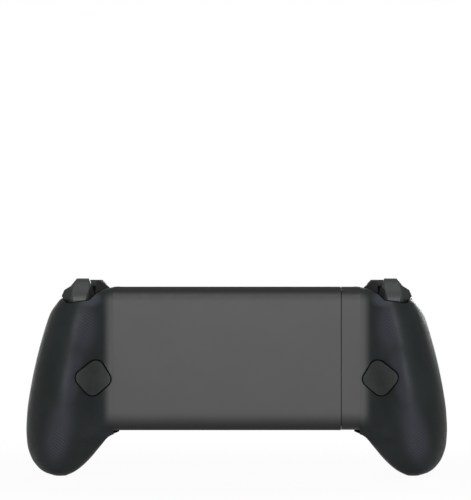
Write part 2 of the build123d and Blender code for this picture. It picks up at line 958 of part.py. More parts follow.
def round_cap(x, z, radius, rise, dome):
    """Adds a domed cap on a stem to the button that is being built."""
    top = face_y - rise
    foot = stem_end(button_travel)
    with BuildSketch(turning(x, z)) as section:
        with BuildLine():
            ThreePointArc((0, top), (radius / 2, top + dome / 4), (radius, top + dome))
            Polyline(
                (radius, top + dome),
                (radius, flange_rear),
                (button_stem_radius, flange_rear),
                (button_stem_radius, foot),
                (0, foot),
                (0, top),
            )
        make_face()
    revolve(section.sketch, axis=depth_axis(x, z))


def round_flange(x, z, radius):
    extrude(disc([(x, z)], radius, flange_rear), amount=button_flange_height)


def bar_flange(x, z):
    """Adds a narrow flange, which doesn't reach the handle's side wall."""
    with BuildSketch(facing(flange_rear)) as bar:
        with Locations((x, z)):
            Rectangle(2 * small_flange_half_width, 2 * small_flange_half_length)
    extrude(bar.sketch, amount=button_flange_height)


def face_button(x, z):
    with BuildPart() as button:
        round_cap(x, z, button_radius, button_rise, button_dome)
        round_flange(x, z, button_radius + button_flange)
    return button.part


def small_button(shares):
    x, z = place(shares)
    with BuildPart() as button:
        round_cap(x, z, small_button_radius, small_button_rise, small_button_dome)
        bar_flange(x, z)
    return button.part


for number, (x, z) in enumerate(face_button_places(), start=1):
    keep(face_button(x, z), f"face_button_{number}")
keep(small_button(menu_button_shares), "menu_button")
keep(small_button(view_button_shares), "view_button", "left")

home_x, home_z = place(home_button_shares)
with BuildPart() as home_button:
    round_cap(home_x, home_z, home_button_radius, small_button_rise, small_button_dome)
    round_flange(home_x, home_z, home_button_radius + button_flange)
keep(home_button.part, "home_button")

with BuildPart() as home_light_ring:
    with BuildSketch(facing(inner_face_y)):
        with Locations((home_x, home_z)):
            Circle(home_button_radius + home_ring_width)
            Circle(home_button_radius + slide_gap, mode=Mode.SUBTRACT)
    extrude(amount=wall + home_ring_rise)
keep(home_light_ring.part, "home_light_ring")

pill_x, pill_z = place(pill_shares)
pill_step = (pill_length + pill_split) / 4


def pill_half(direction):
    """One half of the split pill: -1 for the half nearer the device, +1 for the other."""
    middle = pill_x + direction * pill_step
    inner_align = Align.MIN if direction > 0 else Align.MAX
    with BuildPart() as half:
        with BuildSketch(facing(flange_rear)):
            add(pill_outline())
            with Locations((pill_x + direction * pill_split / 2, pill_z)):
                Rectangle(
                    pill_length,
                    2 * pill_height,
                    align=(inner_align, Align.CENTER),
                    mode=Mode.INTERSECT,
                )
        extrude(amount=flange_rear - face_y + pill_rise)
        crown = half.faces().sort_by(Axis.Y)[0]
        chamfer(crown.edges(), length=pill_edge)
        bar_flange(middle, pill_z)
        stem = disc([(middle, pill_z)], button_stem_radius, stem_end(pill_travel))
        extrude(stem, amount=stem_end(pill_travel) - flange_rear)
    return half.part


keep(pill_half(-1), "pill_button_inner", "left")
keep(pill_half(1), "pill_button_outer", "left")


# D-pad on its pivot

dpad_x, dpad_z = place(dpad_shares)
dpad_socket = dpad_ball_radius + dpad_ball_gap
dpad_stem_end = stem_end(button_travel)
dish_centre = face_y - dpad_rise + dpad_dish_depth - dpad_dish_radius


def dpad_switch_places():
    step = dpad_switch_spacing
    return [
        (dpad_x + step, dpad_z),
        (dpad_x - step, dpad_z),
        (dpad_x, dpad_z + step),
        (dpad_x, dpad_z - step),
    ]


with BuildPart() as dpad:
    with BuildSketch(facing(dpad_underside)):
        add(cross_outline())
    extrude(amount=dpad_underside - face_y + dpad_rise)
    crown = dpad.faces().sort_by(Axis.Y)[0]
    chamfer(crown.edges(), length=dpad_edge)
    with Locations((dpad_x, dish_centre, dpad_z)):
        Sphere(dpad_dish_radius, mode=Mode.SUBTRACT)
    with BuildSketch(facing(dpad_underside)):
        with Locations((dpad_x, dpad_z)):
            Circle(dpad_flange_radius)
    extrude(amount=dpad_flange_height)
    with BuildSketch(facing(dpad_stem_end)):
        with Locations(*dpad_switch_places()):
            Circle(button_stem_radius)
    extrude(amount=dpad_stem_end - dpad_underside)
    with Locations((dpad_x, dpad_pivot_y, dpad_z)):
        Sphere(dpad_socket, mode=Mode.SUBTRACT)
    with BuildSketch(facing(dpad_underside)):
        with Locations((dpad_x, dpad_z)):
            Circle(dpad_socket)
    extrude(amount=dpad_underside - dpad_pivot_y, mode=Mode.SUBTRACT)
keep(dpad.part, "dpad", "left")

with BuildPart() as dpad_pivot:
    with Locations((dpad_x, dpad_pivot_y, dpad_z)):
        Sphere(dpad_ball_radius)
keep(dpad_pivot.part, "dpad_pivot_ball", "left")

with BuildPart() as dpad_post:
    with BuildSketch(facing(board_front)):
        with Locations((dpad_x, dpad_z)):
            Circle(dpad_post_radius)
    extrude(amount=board_front - dpad_pivot_y)
    with Locations((dpad_x, dpad_pivot_y, dpad_z)):
        Sphere(dpad_ball_radius + running_gap, mode=Mode.SUBTRACT)
keep(dpad_post.part, "dpad_post", "left")


# Boards, switches, screws, batteries, motors and the socket

corner_count = len(back_button_corner_shares)
back_x = sum(across(x) for x, z in back_button_corner_shares) / corner_count
back_z = sum(level(z) for x, z in back_button_corner_shares) / corner_count


def front_switch_places(side):
    if side == "right":
        return face_button_places() + [(home_x, home_z)]
    pills = [(pill_x - pill_step, pill_z), (pill_x + pill_step, pill_z)]
    return dpad_switch_places() + pills


board_limits = handle_loft(wall + board_edge_gap, cavity_first_section)


def board(side):
    with BuildPart() as plate:
        with BuildSketch(facing(board_rear)):
            with Locations((board_start, 0)):
                Rectangle(half_width, board_top, align=(Align.MIN, Align.MIN))
        extrude(amount=board_thickness)
        add(board_limits, mode=Mode.INTERSECT)
        with BuildSketch(facing(board_rear)):
            with Locations(place(stick_places[side])):
                Circle(base_bore_radius + base_cup_wall + running_gap)
            with Locations(*post_places()):
                Circle(screw_radius + running_gap)
        extrude(amount=board_thickness, mode=Mode.SUBTRACT)
    return plate.part


def switches(side):
    """Switches under the buttons, one at the board's top for the bumper, one behind."""
    bumper_switch_rise = board_front - bumper_middle + lug_half
    with BuildPart() as group:
        with BuildSketch(facing(board_front)):
            with Locations(*front_switch_places(side)):
                Rectangle(switch_side, switch_side)
            with Locations((board_start, board_top)):
                Rectangle(switch_side, switch_side, align=(Align.MIN, Align.MAX))
        extrude(amount=switch_height)
        with BuildSketch(facing(board_front)):
            with Locations((across(bumper_plunger_share), board_top)):
                align = (Align.CENTER, Align.MAX)
                Rectangle(bumper_switch_side, bumper_switch_side, align=align)
        extrude(amount=bumper_switch_rise)
        with BuildSketch(facing(board_rear + rear_switch_height)):
            with Locations((back_x, back_z)):
                Rectangle(rear_switch_side, rear_switch_side)
        extrude(amount=rear_switch_height)
    return group.part


def screws():
    with BuildPart() as group:
        with BuildSketch(facing(board_front)):
            with Locations(*post_places()):
                Circle(screw_head_radius)
        extrude(amount=screw_head_height)
        with BuildSketch(facing(board_rear + screw_length - slide_gap)):
            with Locations(*post_places()):
                Circle(screw_radius)
        extrude(amount=screw_length - slide_gap + board_thickness)
        with BuildSketch(facing(board_front - screw_head_height / 2)):
            with Locations(*post_places()):
                Rectangle(2 * screw_head_radius, screw_slot)
        extrude(amount=screw_head_height, mode=Mode.SUBTRACT)
    return group.part


with BuildPart() as battery:
    with BuildSketch(facing(board_rear + battery_thickness)):
        with Locations(place(battery_shares)):
            RectangleRounded(battery_width, battery_height, battery_fillet)
    extrude(amount=battery_thickness)

with BuildPart() as motor:
    with BuildSketch(facing(board_rear + motor_thickness)):
        with Locations(place(motor_shares)):
            Circle(motor_radius)
    extrude(amount=motor_thickness)

for side in ("right", "left"):
    keep(board(side), f"{side}_board", side)
    keep(switches(side), f"{side}_switches", side)
    keep(screws(), f"{side}_screws", side)
    keep(battery.part, f"{side}_battery", side)
    keep(motor.part, f"{side}_motor", side)

socket_x, socket_z = place(socket_shares)
socket_middle = board_rear + socket_height / 2
with BuildPart() as charging_socket:
    with BuildSketch(Plane.XY.offset(socket_z)):
        with Locations((socket_x, socket_middle)):
            SlotOverall(socket_width, socket_height)
    extrude(amount=socket_length)
    with BuildSketch(Plane.XY.offset(socket_z)):
        with Locations((socket_x, socket_middle)):
            SlotOverall(socket_width - 2 * socket_wall, socket_height - 2 * socket_wall)
    extrude(amount=socket_length - socket_wall, mode=Mode.SUBTRACT)
    with BuildSketch(Plane.XY.offset(socket_z + socket_length - socket_tab_length)):
        with Locations((socket_x, socket_middle)):
            Rectangle(socket_tab_width, socket_tab_thickness)
    extrude(amount=socket_tab_length)
keep(charging_socket.part, "charging_socket")


# Back buttons

back_switch_rear = board_rear + rear_switch_height
with BuildPart() as back_button:
    with BuildSketch(Plane.XZ):
        add(back_button_outline())
    extrude(amount=-grip_depth - overrun)
    add(handle_loft(back_button_plate), mode=Mode.SUBTRACT)
    stem_start = back_switch_rear + back_button_travel + slide_gap
    extrude(disc([(back_x, back_z)], back_button_stem_radius, stem_start), amount=-grip_depth)
    add(handle_loft(-back_button_rise), mode=Mode.INTERSECT)
for side in ("right", "left"):
    keep(back_button.part, f"{side}_back_button", side)


# Bumpers and triggers, and the pins that they turn on


def bumper_column(x, bottom, size):
    """Adds a post that reaches down through the shoulder to the bumper that is being built."""
    with BuildSketch(facing(bumper_middle + lug_half)) as post:
        with Locations((x, bottom)):
            Rectangle(*size, align=(Align.CENTER, Align.MIN))
    extrude(post.sketch, amount=bumper_lug_depth)


pivot = place(bumper_pivot_shares)
plunger_bottom = board_top + button_travel + slide_gap
with BuildPart() as bumper:
    with BuildSketch(facing(bumper_back)):
        add(polygon_outline(bumper_outline_shares))
    extrude(amount=bumper_depth)
    crest = bumper.edges().filter_by(Axis.Y).sort_by(Axis.Z)[-4:]
    fillet(crest, radius=bumper_corner_radius)
    with BuildSketch(facing(bumper_back - bumper_wall)):
        hollow = polygon_outline(bumper_outline_shares, -bumper_wall)
        add(hollow.moved(Location((0, -2 * bumper_wall, 0))))
    extrude(amount=bumper_depth - 2 * bumper_wall, mode=Mode.SUBTRACT)
    bumper_column(*pivot, (bumper_lug_width, bumper_lug_height))
    extrude(
        disc([pivot], bumper_lug_radius, bumper_middle + lug_half),
        amount=bumper_lug_depth,
    )
    bumper_column(
        across(bumper_plunger_share),
        plunger_bottom,
        (bumper_plunger_width, bumper_plunger_length),
    )
    extrude(
        disc([pivot], bumper_pin_radius + running_gap, bumper_middle + lug_half),
        amount=bumper_lug_depth,
        mode=Mode.SUBTRACT,
    )


def trigger_side():
    """The trigger seen from its side: local x is Y, local y is Z."""
    crown = (-trigger_front, level(trigger_crown_share))
    curve = [(y * trigger_rear, level(z)) for y, z in trigger_side_shares]
    with BuildSketch() as region:
        with BuildLine():
            Spline([crown] + curve)
            Polyline(curve[-1], (-trigger_front, curve[-1][1]), crown)
        make_face()
    return region.sketch


def trigger_top(inset=0):
    """The trigger seen from above: local x is X, local y is Y."""
    corners = [(across(x), y * trigger_rear) for x, y in trigger_top_shares]
    first, last = corners[0][0], corners[-1][0]
    with BuildSketch() as region:
        with BuildLine():
            Polyline([(last, -trigger_front), (first, -trigger_front)] + corners, close=True)
        make_face()
        if inset:
            offset(amount=-inset)
    return region.sketch


def opened(outline):
    """An outline with a copy moved down its plane, so that a hollow breaks out through a wall."""
    with BuildSketch() as region:
        add(outline)
        add(outline.moved(Location((0, -2 * trigger_wall, 0))))
    return region.sketch


def common_form(rear_view, side_view, top_view):
    """What the prisms of a view from the rear, from the side and from above share."""
    with BuildPart() as form:
        with BuildSketch(facing(trigger_rear)):
            add(rear_view)
        extrude(amount=trigger_rear + overrun)
        with BuildSketch(along(seat_x)):
            add(side_view)
        extrude(amount=handle_span, mode=Mode.INTERSECT)
        with BuildSketch(Plane.XY):
            add(top_view)
        extrude(amount=height + overrun, mode=Mode.INTERSECT)
    return form.part


def trigger_side_hollow():
    """The trigger's hollow seen from its side, with the window that its pin and ears pass."""
    window_top = (trigger_pin_depth, level(trigger_front_share))
    with BuildSketch() as region:
        add(trigger_side().moved(Location((-trigger_wall, -trigger_wall, 0))))
        with Locations((trigger_wall - trigger_front, 0)):
            corner = (Align.MIN, Align.MIN)
            Rectangle(trigger_rear, height, align=corner, mode=Mode.INTERSECT)
        with Locations(window_top):
            Rectangle(2 * trigger_window, height, align=(Align.CENTER, Align.MAX))
    return region.sketch


tube_start = across(trigger_middle_share) - trigger_tube_length / 2
with BuildPart() as trigger:
    add(common_form(trigger_outline(), trigger_side(), trigger_top()))
    hollow = common_form(
        opened(trigger_outline(-trigger_wall)),
        trigger_side_hollow(),
        opened(trigger_top(trigger_wall)),
    )
    add(hollow, mode=Mode.SUBTRACT)
    with BuildSketch(along(tube_start)):
        with Locations(pin_place):
            Circle(trigger_tube_radius)
            Rectangle(trigger_web, trigger_web_height, align=(Align.CENTER, Align.MIN))
            Circle(trigger_pin_radius + running_gap, mode=Mode.SUBTRACT)
    extrude(amount=trigger_tube_length)

with BuildPart() as shoulder_pins:
    pin_start, last_ear = trigger_ear_starts()
    with BuildSketch(along(pin_start)):
        with Locations(pin_place):
            Circle(trigger_pin_radius)
    extrude(amount=last_ear + trigger_ear_thickness - pin_start)
    bumper_pin = disc([pivot], bumper_pin_radius, bumper_middle + ear_stack)
    extrude(bumper_pin, amount=2 * ear_stack)

for side in ("right", "left"):
    keep(bumper.part, f"{side}_bumper", side)
    keep(trigger.part, f"{side}_trigger", side)
    keep(shoulder_pins.part, f"{side}_shoulder_pins", side)
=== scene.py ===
import json
import math

import bmesh
import bpy
from mathutils import Matrix, Vector


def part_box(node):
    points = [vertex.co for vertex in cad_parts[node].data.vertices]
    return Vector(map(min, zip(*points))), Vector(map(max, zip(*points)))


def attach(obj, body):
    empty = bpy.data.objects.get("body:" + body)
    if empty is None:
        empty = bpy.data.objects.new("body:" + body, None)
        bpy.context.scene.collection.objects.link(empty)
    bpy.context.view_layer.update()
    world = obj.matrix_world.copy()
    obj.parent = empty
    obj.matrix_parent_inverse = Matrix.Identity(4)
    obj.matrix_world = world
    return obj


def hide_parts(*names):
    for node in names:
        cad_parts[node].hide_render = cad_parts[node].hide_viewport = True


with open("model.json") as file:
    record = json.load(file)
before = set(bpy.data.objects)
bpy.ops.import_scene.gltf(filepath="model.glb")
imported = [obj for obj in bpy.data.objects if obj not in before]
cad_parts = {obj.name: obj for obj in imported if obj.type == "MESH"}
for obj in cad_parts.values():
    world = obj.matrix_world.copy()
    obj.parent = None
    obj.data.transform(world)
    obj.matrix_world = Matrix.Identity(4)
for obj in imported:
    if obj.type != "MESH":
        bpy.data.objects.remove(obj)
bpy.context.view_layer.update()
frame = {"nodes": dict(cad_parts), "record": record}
nodes = frame["nodes"]

# Lengths below are metres. One millimetre in this frame:
mm = 0.001

# Pieces are modelled on the right. -1 mirrors them to the left
flips = {"right": 1, "left": -1}

scene = bpy.context.scene


def new_object(name, data):
    item = bpy.data.objects.new(name, data)
    scene.collection.objects.link(item)
    return item


# Material nodes


def add_node(tree, kind, **values):
    node = tree.nodes.new(kind)
    for key, value in values.items():
        if key in node.inputs:
            node.inputs[key].default_value = value
        else:
            setattr(node, key, value)
    return node


def link(source, target):
    """Links two sockets of one node tree, which every socket knows."""
    source.id_data.links.new(source, target)


def noise(source, scale, detail, roughness=0.5):
    node = add_node(source.id_data, "ShaderNodeTexNoise", Scale=scale, Detail=detail, Roughness=roughness)
    link(source, node.inputs["Vector"])
    return node.outputs["Fac"]


def span(source, low, high, out_low=0.0, out_high=1.0):
    """Maps a value from one range to another, smoothly and clamped."""
    node = add_node(source.id_data, "ShaderNodeMapRange", interpolation_type="SMOOTHSTEP")
    for key, value in zip(("From Min", "From Max", "To Min", "To Max"), (low, high, out_low, out_high)):
        node.inputs[key].default_value = value
    link(source, node.inputs["Value"])
    return node.outputs["Result"]


def maths(operation, first, second=None):
    source = second if isinstance(first, (int, float)) else first
    node = add_node(source.id_data, "ShaderNodeMath", operation=operation)
    for socket, value in zip(node.inputs, (first, second)):
        if value is None:
            continue
        if isinstance(value, (int, float)):
            socket.default_value = value
        else:
            link(value, socket)
    return node.outputs[0]


def product(first, *others):
    for other in others:
        first = maths("MULTIPLY", first, other)
    return first


def blended(factor, first, second):
    """Mixes two colours by a factor. Each is a colour or a socket."""
    node = factor.id_data.nodes.new("ShaderNodeMix")
    node.data_type = "RGBA"
    link(factor, node.inputs[0])
    for socket, value in ((node.inputs[6], first), (node.inputs[7], second)):
        if isinstance(value, tuple):
            socket.default_value = (*value, 1.0)
        else:
            link(value, socket)
    return node.outputs[2]


def shaded(colour, factor):
    return tuple(channel * factor for channel in colour)


def new_material(name):
    """A material, its shader, the place on the piece in the shared frame, and its X, Y and Z."""
    material = bpy.data.materials.new(name)
    material.use_nodes = True
    tree = material.node_tree
    place = tree.nodes.new("ShaderNodeTexCoord").outputs["Object"]
    parts = tree.nodes.new("ShaderNodeSeparateXYZ")
    link(place, parts.inputs[0])
    return material, tree.nodes["Principled BSDF"], place, parts.outputs


def bumped(shader, height, strength, distance):
    bump = add_node(height.id_data, "ShaderNodeBump", Strength=strength, Distance=distance)
    link(height, bump.inputs["Height"])
    link(bump.outputs["Normal"], shader.inputs["Normal"])


# Noise scales of smudges and of the moulded grain, and the grain's depth on satin plastic
smudge_scale = 260.0
grain_scale = 2600.0
satin_grain = 0.012 * mm


def mottled(place, scale, detail=4.0):
    return span(noise(place, scale, detail), 0.3, 0.7)


def worn(place, low, high):
    """A roughness that wanders between two values, as handled plastic has."""
    return span(noise(place, smudge_scale, 5.0, 0.6), 0.3, 0.7, low, high)


def finished(shader, place, colour, roughness, gloss_level, grain=grain_scale, depth=satin_grain):
    """Gives a plastic its colour, an uneven gloss and a fine grain."""
    link(colour, shader.inputs["Base Color"])
    link(worn(place, *roughness), shader.inputs["Roughness"])
    bumped(shader, noise(place, grain, 2.0, 0.7), 0.35, depth)
    shader.inputs["Specular IOR Level"].default_value = gloss_level


def moulded(name, colour, roughness, grain=grain_scale, depth=0.02, spread=0.14, coat=0.0, metal=0.0,
            gloss_level=0.18):
    """Plain plastic, rubber or metal of a mottled colour."""
    material, shader, place, _ = new_material(name)
    pair = (shaded(colour, 1 - spread), shaded(colour, 1 + spread))
    mixed = blended(mottled(place, 90.0), *pair)
    uneven = (roughness * 0.9, min(1.0, roughness * 1.1))
    finished(shader, place, mixed, uneven, gloss_level, grain, depth * mm)
    for key, value in (("Metallic", metal), ("Coat Weight", coat), ("Coat Roughness", 0.12)):
        shader.inputs[key].default_value = value
    return material


# A paler band runs down each grip, with fine engraved lines in two places: centre and half lengths in
# mm, and lean in degrees
band_patches = [
    ((81.5, 79.0), (8.5, 18.0), 4.0),
    ((88.0, 52.0), (6.5, 24.0), 14.0),
    ((95.0, 24.0), (9.5, 24.0), 14.0),
]
engraved_patches = [
    ((81.0, 80.0), (7.0, 14.0), 4.0),
    ((96.0, 18.5), (9.0, 14.0), 14.0),
]
# A lighter patch just under each trigger: a painted highlight where a reflection falls there. Centre, half
# lengths and lean as above
painted_highlight_patch = [((78.0, 94.5), (7.0, 5.0), -8.0)]
engraving_pitch = 1.4 * mm
engraving_leans = (-34.0, 56.0)

# A patch is full out to the first share of its half lengths, and gone at the second
patch_fade = (0.35, 1.05)


def patch_mask(patches, across, up):
    """One inside the patches, fading to nothing round them."""
    total = None
    for (centre_x, centre_z), (half_x, half_z), lean in patches:
        turn = math.radians(lean)
        half_x, half_z = half_x * mm, half_z * mm
        x = maths("SUBTRACT", across, centre_x * mm)
        z = maths("SUBTRACT", up, centre_z * mm)
        along = maths("ADD", product(x, math.cos(turn) / half_x), product(z, math.sin(turn) / half_x))
        rise = maths("SUBTRACT", product(z, math.cos(turn) / half_z), product(x, math.sin(turn) / half_z))
        squares = maths("ADD", product(along, along), product(rise, rise))
        inside = span(maths("SQRT", squares), *patch_fade, 1.0, 0.0)
        total = inside if total is None else maths("MAXIMUM", total, inside)
    return total


def crossed_lines(across, up):
    """Two sets of fine slanting lines that cross, as laser-engraved grip patterns have."""
    rows = []
    for lean in engraving_leans:
        turn = math.radians(lean)
        run = maths("ADD", product(across, math.sin(turn)), product(up, math.cos(turn)))
        rows.append(maths("SINE", product(run, 2 * math.pi / engraving_pitch)))
    return product(rows[0], maths("ADD", product(rows[1], 0.4), 0.8))


# Where the grip's charcoal turns into the bridge's grey, in X and in Y, and the parting line's halves
grey_across = (67.5 * mm, 72.5 * mm)
grey_rearward = (7.0 * mm, 12.0 * mm)
seam_halves = (0.06 * mm, 0.22 * mm)


def grip_plastic(colour, tint):
    """Charcoal grip plastic with engraved patches, a dark parting line and a painted highlight under the
    trigger.
    """
    material, shader, place, parts = new_material("grip_plastic")
    across = maths("ABSOLUTE", parts[0])
    mask = patch_mask(band_patches, across, parts[2])
    engraved = patch_mask(engraved_patches, across, parts[2])
    lines = crossed_lines(across, parts[2])
    base = blended(mottled(place, 60.0), shaded(colour, 0.9), shaded(colour, 1.1))
    tinted = blended(mask, base, tint)
    # Painted highlight: the grip is made lighter under the trigger, standing in for a reflection
    painted_sheen = product(patch_mask(painted_highlight_patch, across, parts[2]), 0.7)
    tinted = blended(painted_sheen, tinted, shaded(tint, 1.7))
    fine_mask = maths("POWER", engraved, 2.0)
    spark = product(fine_mask, span(lines, 0.1, 1.0, 0.0, 0.5))
    lined = blended(spark, tinted, shaded(tint, 2.0))
    bridge_side = span(across, *grey_across, 1.0, 0.0)
    rearward = span(parts[1], *grey_rearward)
    greyed = product(bridge_side, rearward, above_bridge(parts[2]))
    lined = blended(greyed, lined, bridge_grey)
    seam = span(maths("ABSOLUTE", parts[1]), *seam_halves, 1.0, 0.0)
    final = blended(seam, lined, shaded(colour, 0.25))
    link(final, shader.inputs["Base Color"])
    shiny = maths("SUBTRACT", worn(place, 0.42, 0.5), product(mask, 0.06))
    link(shiny, shader.inputs["Roughness"])
    fine = product(noise(place, grain_scale, 2.0, 0.7), 0.25)
    carved = product(lines, engraved, 0.6)
    height = maths("SUBTRACT", maths("ADD", fine, carved), product(seam, 2.0))
    bumped(shader, height, 0.6, 0.06 * mm)
    shader.inputs["Specular IOR Level"].default_value = 0.1
    return material


bridge_grey = (0.110, 0.112, 0.110)
# Levels over which the bridge's painted edge shade fades out at its bottom and top. The grips' grey keeps to
# the level part between them too
bridge_foot = (25.0 * mm, 35.0 * mm)
bridge_brow = (93.0 * mm, 99.5 * mm)


def above_bridge(up):
    """One on the bridge's level part, nothing at its top and bottom edges."""
    low = span(up, *bridge_foot)
    high = span(up, *bridge_brow, 1.0, 0.0)
    return product(low, high)


def bridge_plastic(colour):
    """Grey satin plastic with painted shade, darker where the bridge curves to its top and bottom edges."""
    material, shader, place, parts = new_material("bridge_plastic")
    base = blended(mottled(place, 40.0, 3.0), shaded(colour, 0.98), shaded(colour, 1.02))
    # Painted shade: the bridge's top and bottom edges are darkened to 0.26 of its grey
    painted_edge_shade = blended(above_bridge(parts[2]), shaded(colour, 0.26), base)
    finished(shader, place, painted_edge_shade, (0.38, 0.46), 0.15)
    return material


# The trigger's flat, painted as lit while its sides are painted as shade: its sides in X, which lean by a
# share of the drop from the crown, and the crown
flat_inner = (79.2 * mm, 79.8 * mm)
flat_outer = (86.2 * mm, 86.9 * mm)
flat_lean, flat_top = 0.27, 105.0 * mm
flat_crown = (103.4 * mm, 104.6 * mm)


def trigger_plastic(colour):
    """Dark plastic with painted light and shade: a lighter flat down the middle of the trigger's rear, and
    darker sides.
    """
    material, shader, place, parts = new_material("trigger_plastic")
    across = maths("ABSOLUTE", parts[0])
    lean = product(maths("SUBTRACT", flat_top, parts[2]), flat_lean)
    right = span(maths("SUBTRACT", across, lean), *flat_outer, 1.0, 0.0)
    left = span(across, *flat_inner)
    crown = span(parts[2], *flat_crown, 1.0, 0.45)
    flat = product(right, left, crown)
    lit_flat_colour = blended(mottled(place, 120.0), shaded(colour, 0.94), shaded(colour, 1.06))
    # Painted shade: outside the flat the colour drops to 0.42 of its own, and the flat turns partly darker
    # towards its crown
    mixed = blended(flat, shaded(colour, 0.42), lit_flat_colour)
    finished(shader, place, mixed, (0.34, 0.42), 0.25)
    return material


def light_ring(colour, strength):
    material, shader, place, _ = new_material("light_ring")
    mixed = blended(mottled(place, 300.0, 2.0), shaded(colour, 0.8), shaded(colour, 1.2))
    link(mixed, shader.inputs["Base Color"])
    link(mixed, shader.inputs["Emission Color"])
    shader.inputs["Emission Strength"].default_value = strength
    shader.inputs["Roughness"].default_value = 0.3
    return material


looks = {
    "grip_plastic": grip_plastic((0.026, 0.030, 0.030), (0.041, 0.045, 0.054)),
    "bridge_plastic": bridge_plastic((0.108, 0.110, 0.108)),
    "trigger_plastic": trigger_plastic((0.066, 0.070, 0.069)),
    "light_ring": light_ring((0.040, 0.026, 0.20), 0.07),
}

# Plain looks: colour, roughness, and the values that aren't the usual ones
plain_looks = {
    "face_plastic": ((0.064, 0.068, 0.067), 0.42, {"depth": 0.015, "spread": 0.06}),
    "black_plastic": ((0.008, 0.008, 0.008), 0.5, {"gloss_level": 0.06}),
    "pad_rubber": ((0.01, 0.01, 0.01), 0.75, {"grain": 1800.0, "depth": 0.03, "gloss_level": 0.06}),
    "bowl_plastic": ((0.02, 0.02, 0.021), 0.28, {"coat": 0.2}),
    "cap_rubber": ((0.018, 0.018, 0.018), 0.62, {"grain": 2200.0, "depth": 0.03}),
    "pale_metal": ((0.34, 0.33, 0.31), 0.34, {"depth": 0.006, "spread": 0.05, "metal": 1.0}),
    "button_gloss": ((0.006, 0.006, 0.007), 0.2, {"depth": 0.001, "coat": 0.05, "gloss_level": 0.45}),
    "button_satin": ((0.02, 0.02, 0.021), 0.42, {}),
    "bumper_plastic": ((0.07, 0.072, 0.072), 0.5, {"depth": 0.006, "gloss_level": 0.05}),
    "inner_plastic": ((0.03, 0.03, 0.03), 0.5, {}),
    "inner_nylon": ((0.045, 0.046, 0.046), 0.5, {"spread": 0.03}),
    "board_laminate": ((0.01, 0.07, 0.035), 0.35, {}),
    "battery_wrap": ((0.25, 0.27, 0.3), 0.3, {}),
    "plain_steel": ((0.5, 0.5, 0.5), 0.32, {"depth": 0.005, "metal": 1.0}),
    "cross_plastic": ((0.046, 0.049, 0.049), 0.42, {}),
    "back_plastic": ((0.043, 0.046, 0.046), 0.42, {}),
    "home_plastic": ((0.03, 0.02, 0.12), 0.35, {}),
    "shoulder_plastic": ((0.042, 0.043, 0.043), 0.6, {"gloss_level": 0.03}),
    "marks": ((0.62, 0.63, 0.64), 0.5, {"depth": 0.0}),
}
for name, (colour, roughness, values) in plain_looks.items():
    looks[name] = moulded(name, colour, roughness, **values)

for entry in frame["record"]["subparts"]:
    node = nodes[entry["node"]]
    node.data.materials.clear()
    node.data.materials.append(looks[entry["material_slot"]])
own_looks = {
    "home_plastic": ["home_button"],
    "back_plastic": ["right_back_button", "left_back_button"],
    "cross_plastic": ["dpad", "pill_button_inner", "pill_button_outer"],
}
for look, names in own_looks.items():
    for name in names:
        nodes[name].data.materials[0] = looks[look]


# Softer edges on the CAD nodes that show: bevel widths of the paired nodes and of the small ones

paired_edges = {"bumper": 0.45 * mm, "trigger": 0.5 * mm, "cheek": 0.2 * mm, "cheek_pad": 0.25 * mm}
small_edge = 0.25 * mm

# Distances at which points are welded: on CAD nodes, turned pieces and grip skins
node_weld, turned_weld, skin_weld = 0.002 * mm, 0.001 * mm, 0.003 * mm

# Degrees by which an edge has to turn to be bevelled, on CAD nodes and on pieces made here, and to
# stay crisp in the grip skins and the bridge
node_bevel, piece_bevel = 32.0, 40.0
skin_crease, bridge_crease = 38.0, 30.0
bevel_segments = 3


def bevelled(item, width, degrees):
    bevel = item.modifiers.new("bevel", "BEVEL")
    bevel.width = width
    bevel.segments = bevel_segments
    bevel.limit_method = "ANGLE"
    bevel.angle_limit = math.radians(degrees)


def soften(name, width):
    node = nodes[name]
    weld = node.modifiers.new("weld", "WELD")
    weld.merge_threshold = node_weld
    bevelled(node, width, node_bevel)
    node.modifiers.new("normals", "WEIGHTED_NORMAL")
    for polygon in node.data.polygons:
        polygon.use_smooth = True


for side in flips:
    for name, width in paired_edges.items():
        soften(f"{side}_{name}", width)
for name in ("pill_button_inner", "pill_button_outer", "dpad", "rest_pads"):
    soften(name, small_edge)


# Pieces made here


def wrapped(rows, count):
    """Quads between rows of points that close round."""
    faces = []
    for row in range(rows - 1):
        for k in range(count):
            a, b = row * count + k, row * count + (k + 1) % count
            faces.append((a, b, b + count, a + count))
    return faces


def crisp(tidy, degrees):
    """Shades a mesh smooth but for the edges that turn by more than the angle."""
    for edge in tidy.edges:
        edge.smooth = edge.is_manifold and edge.calc_face_angle(math.pi) < math.radians(degrees)


def outward(mesh, weld=0.0, crease=0.0):
    """Welds points that nearly meet, turns the normals out, and keeps edges crisp past an angle."""
    tidy = bmesh.new()
    tidy.from_mesh(mesh)
    if weld:
        bmesh.ops.remove_doubles(tidy, verts=tidy.verts, dist=weld)
    bmesh.ops.recalc_face_normals(tidy, faces=tidy.faces)
    if crease:
        crisp(tidy, crease)
    tidy.to_mesh(mesh)
    tidy.free()


def new_mesh(name, vertices, faces, smooth=False):
    mesh = bpy.data.meshes.new(name)
    mesh.from_pydata(vertices, [], faces)
    for polygon in mesh.polygons:
        polygon.use_smooth = smooth
    return mesh


def mesh_piece(name, vertices, faces, look, body, smooth=True):
    piece = new_object(name, new_mesh(name, vertices, faces, smooth))
    piece.data.materials.append(looks[look])
    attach(piece, body)
    return piece


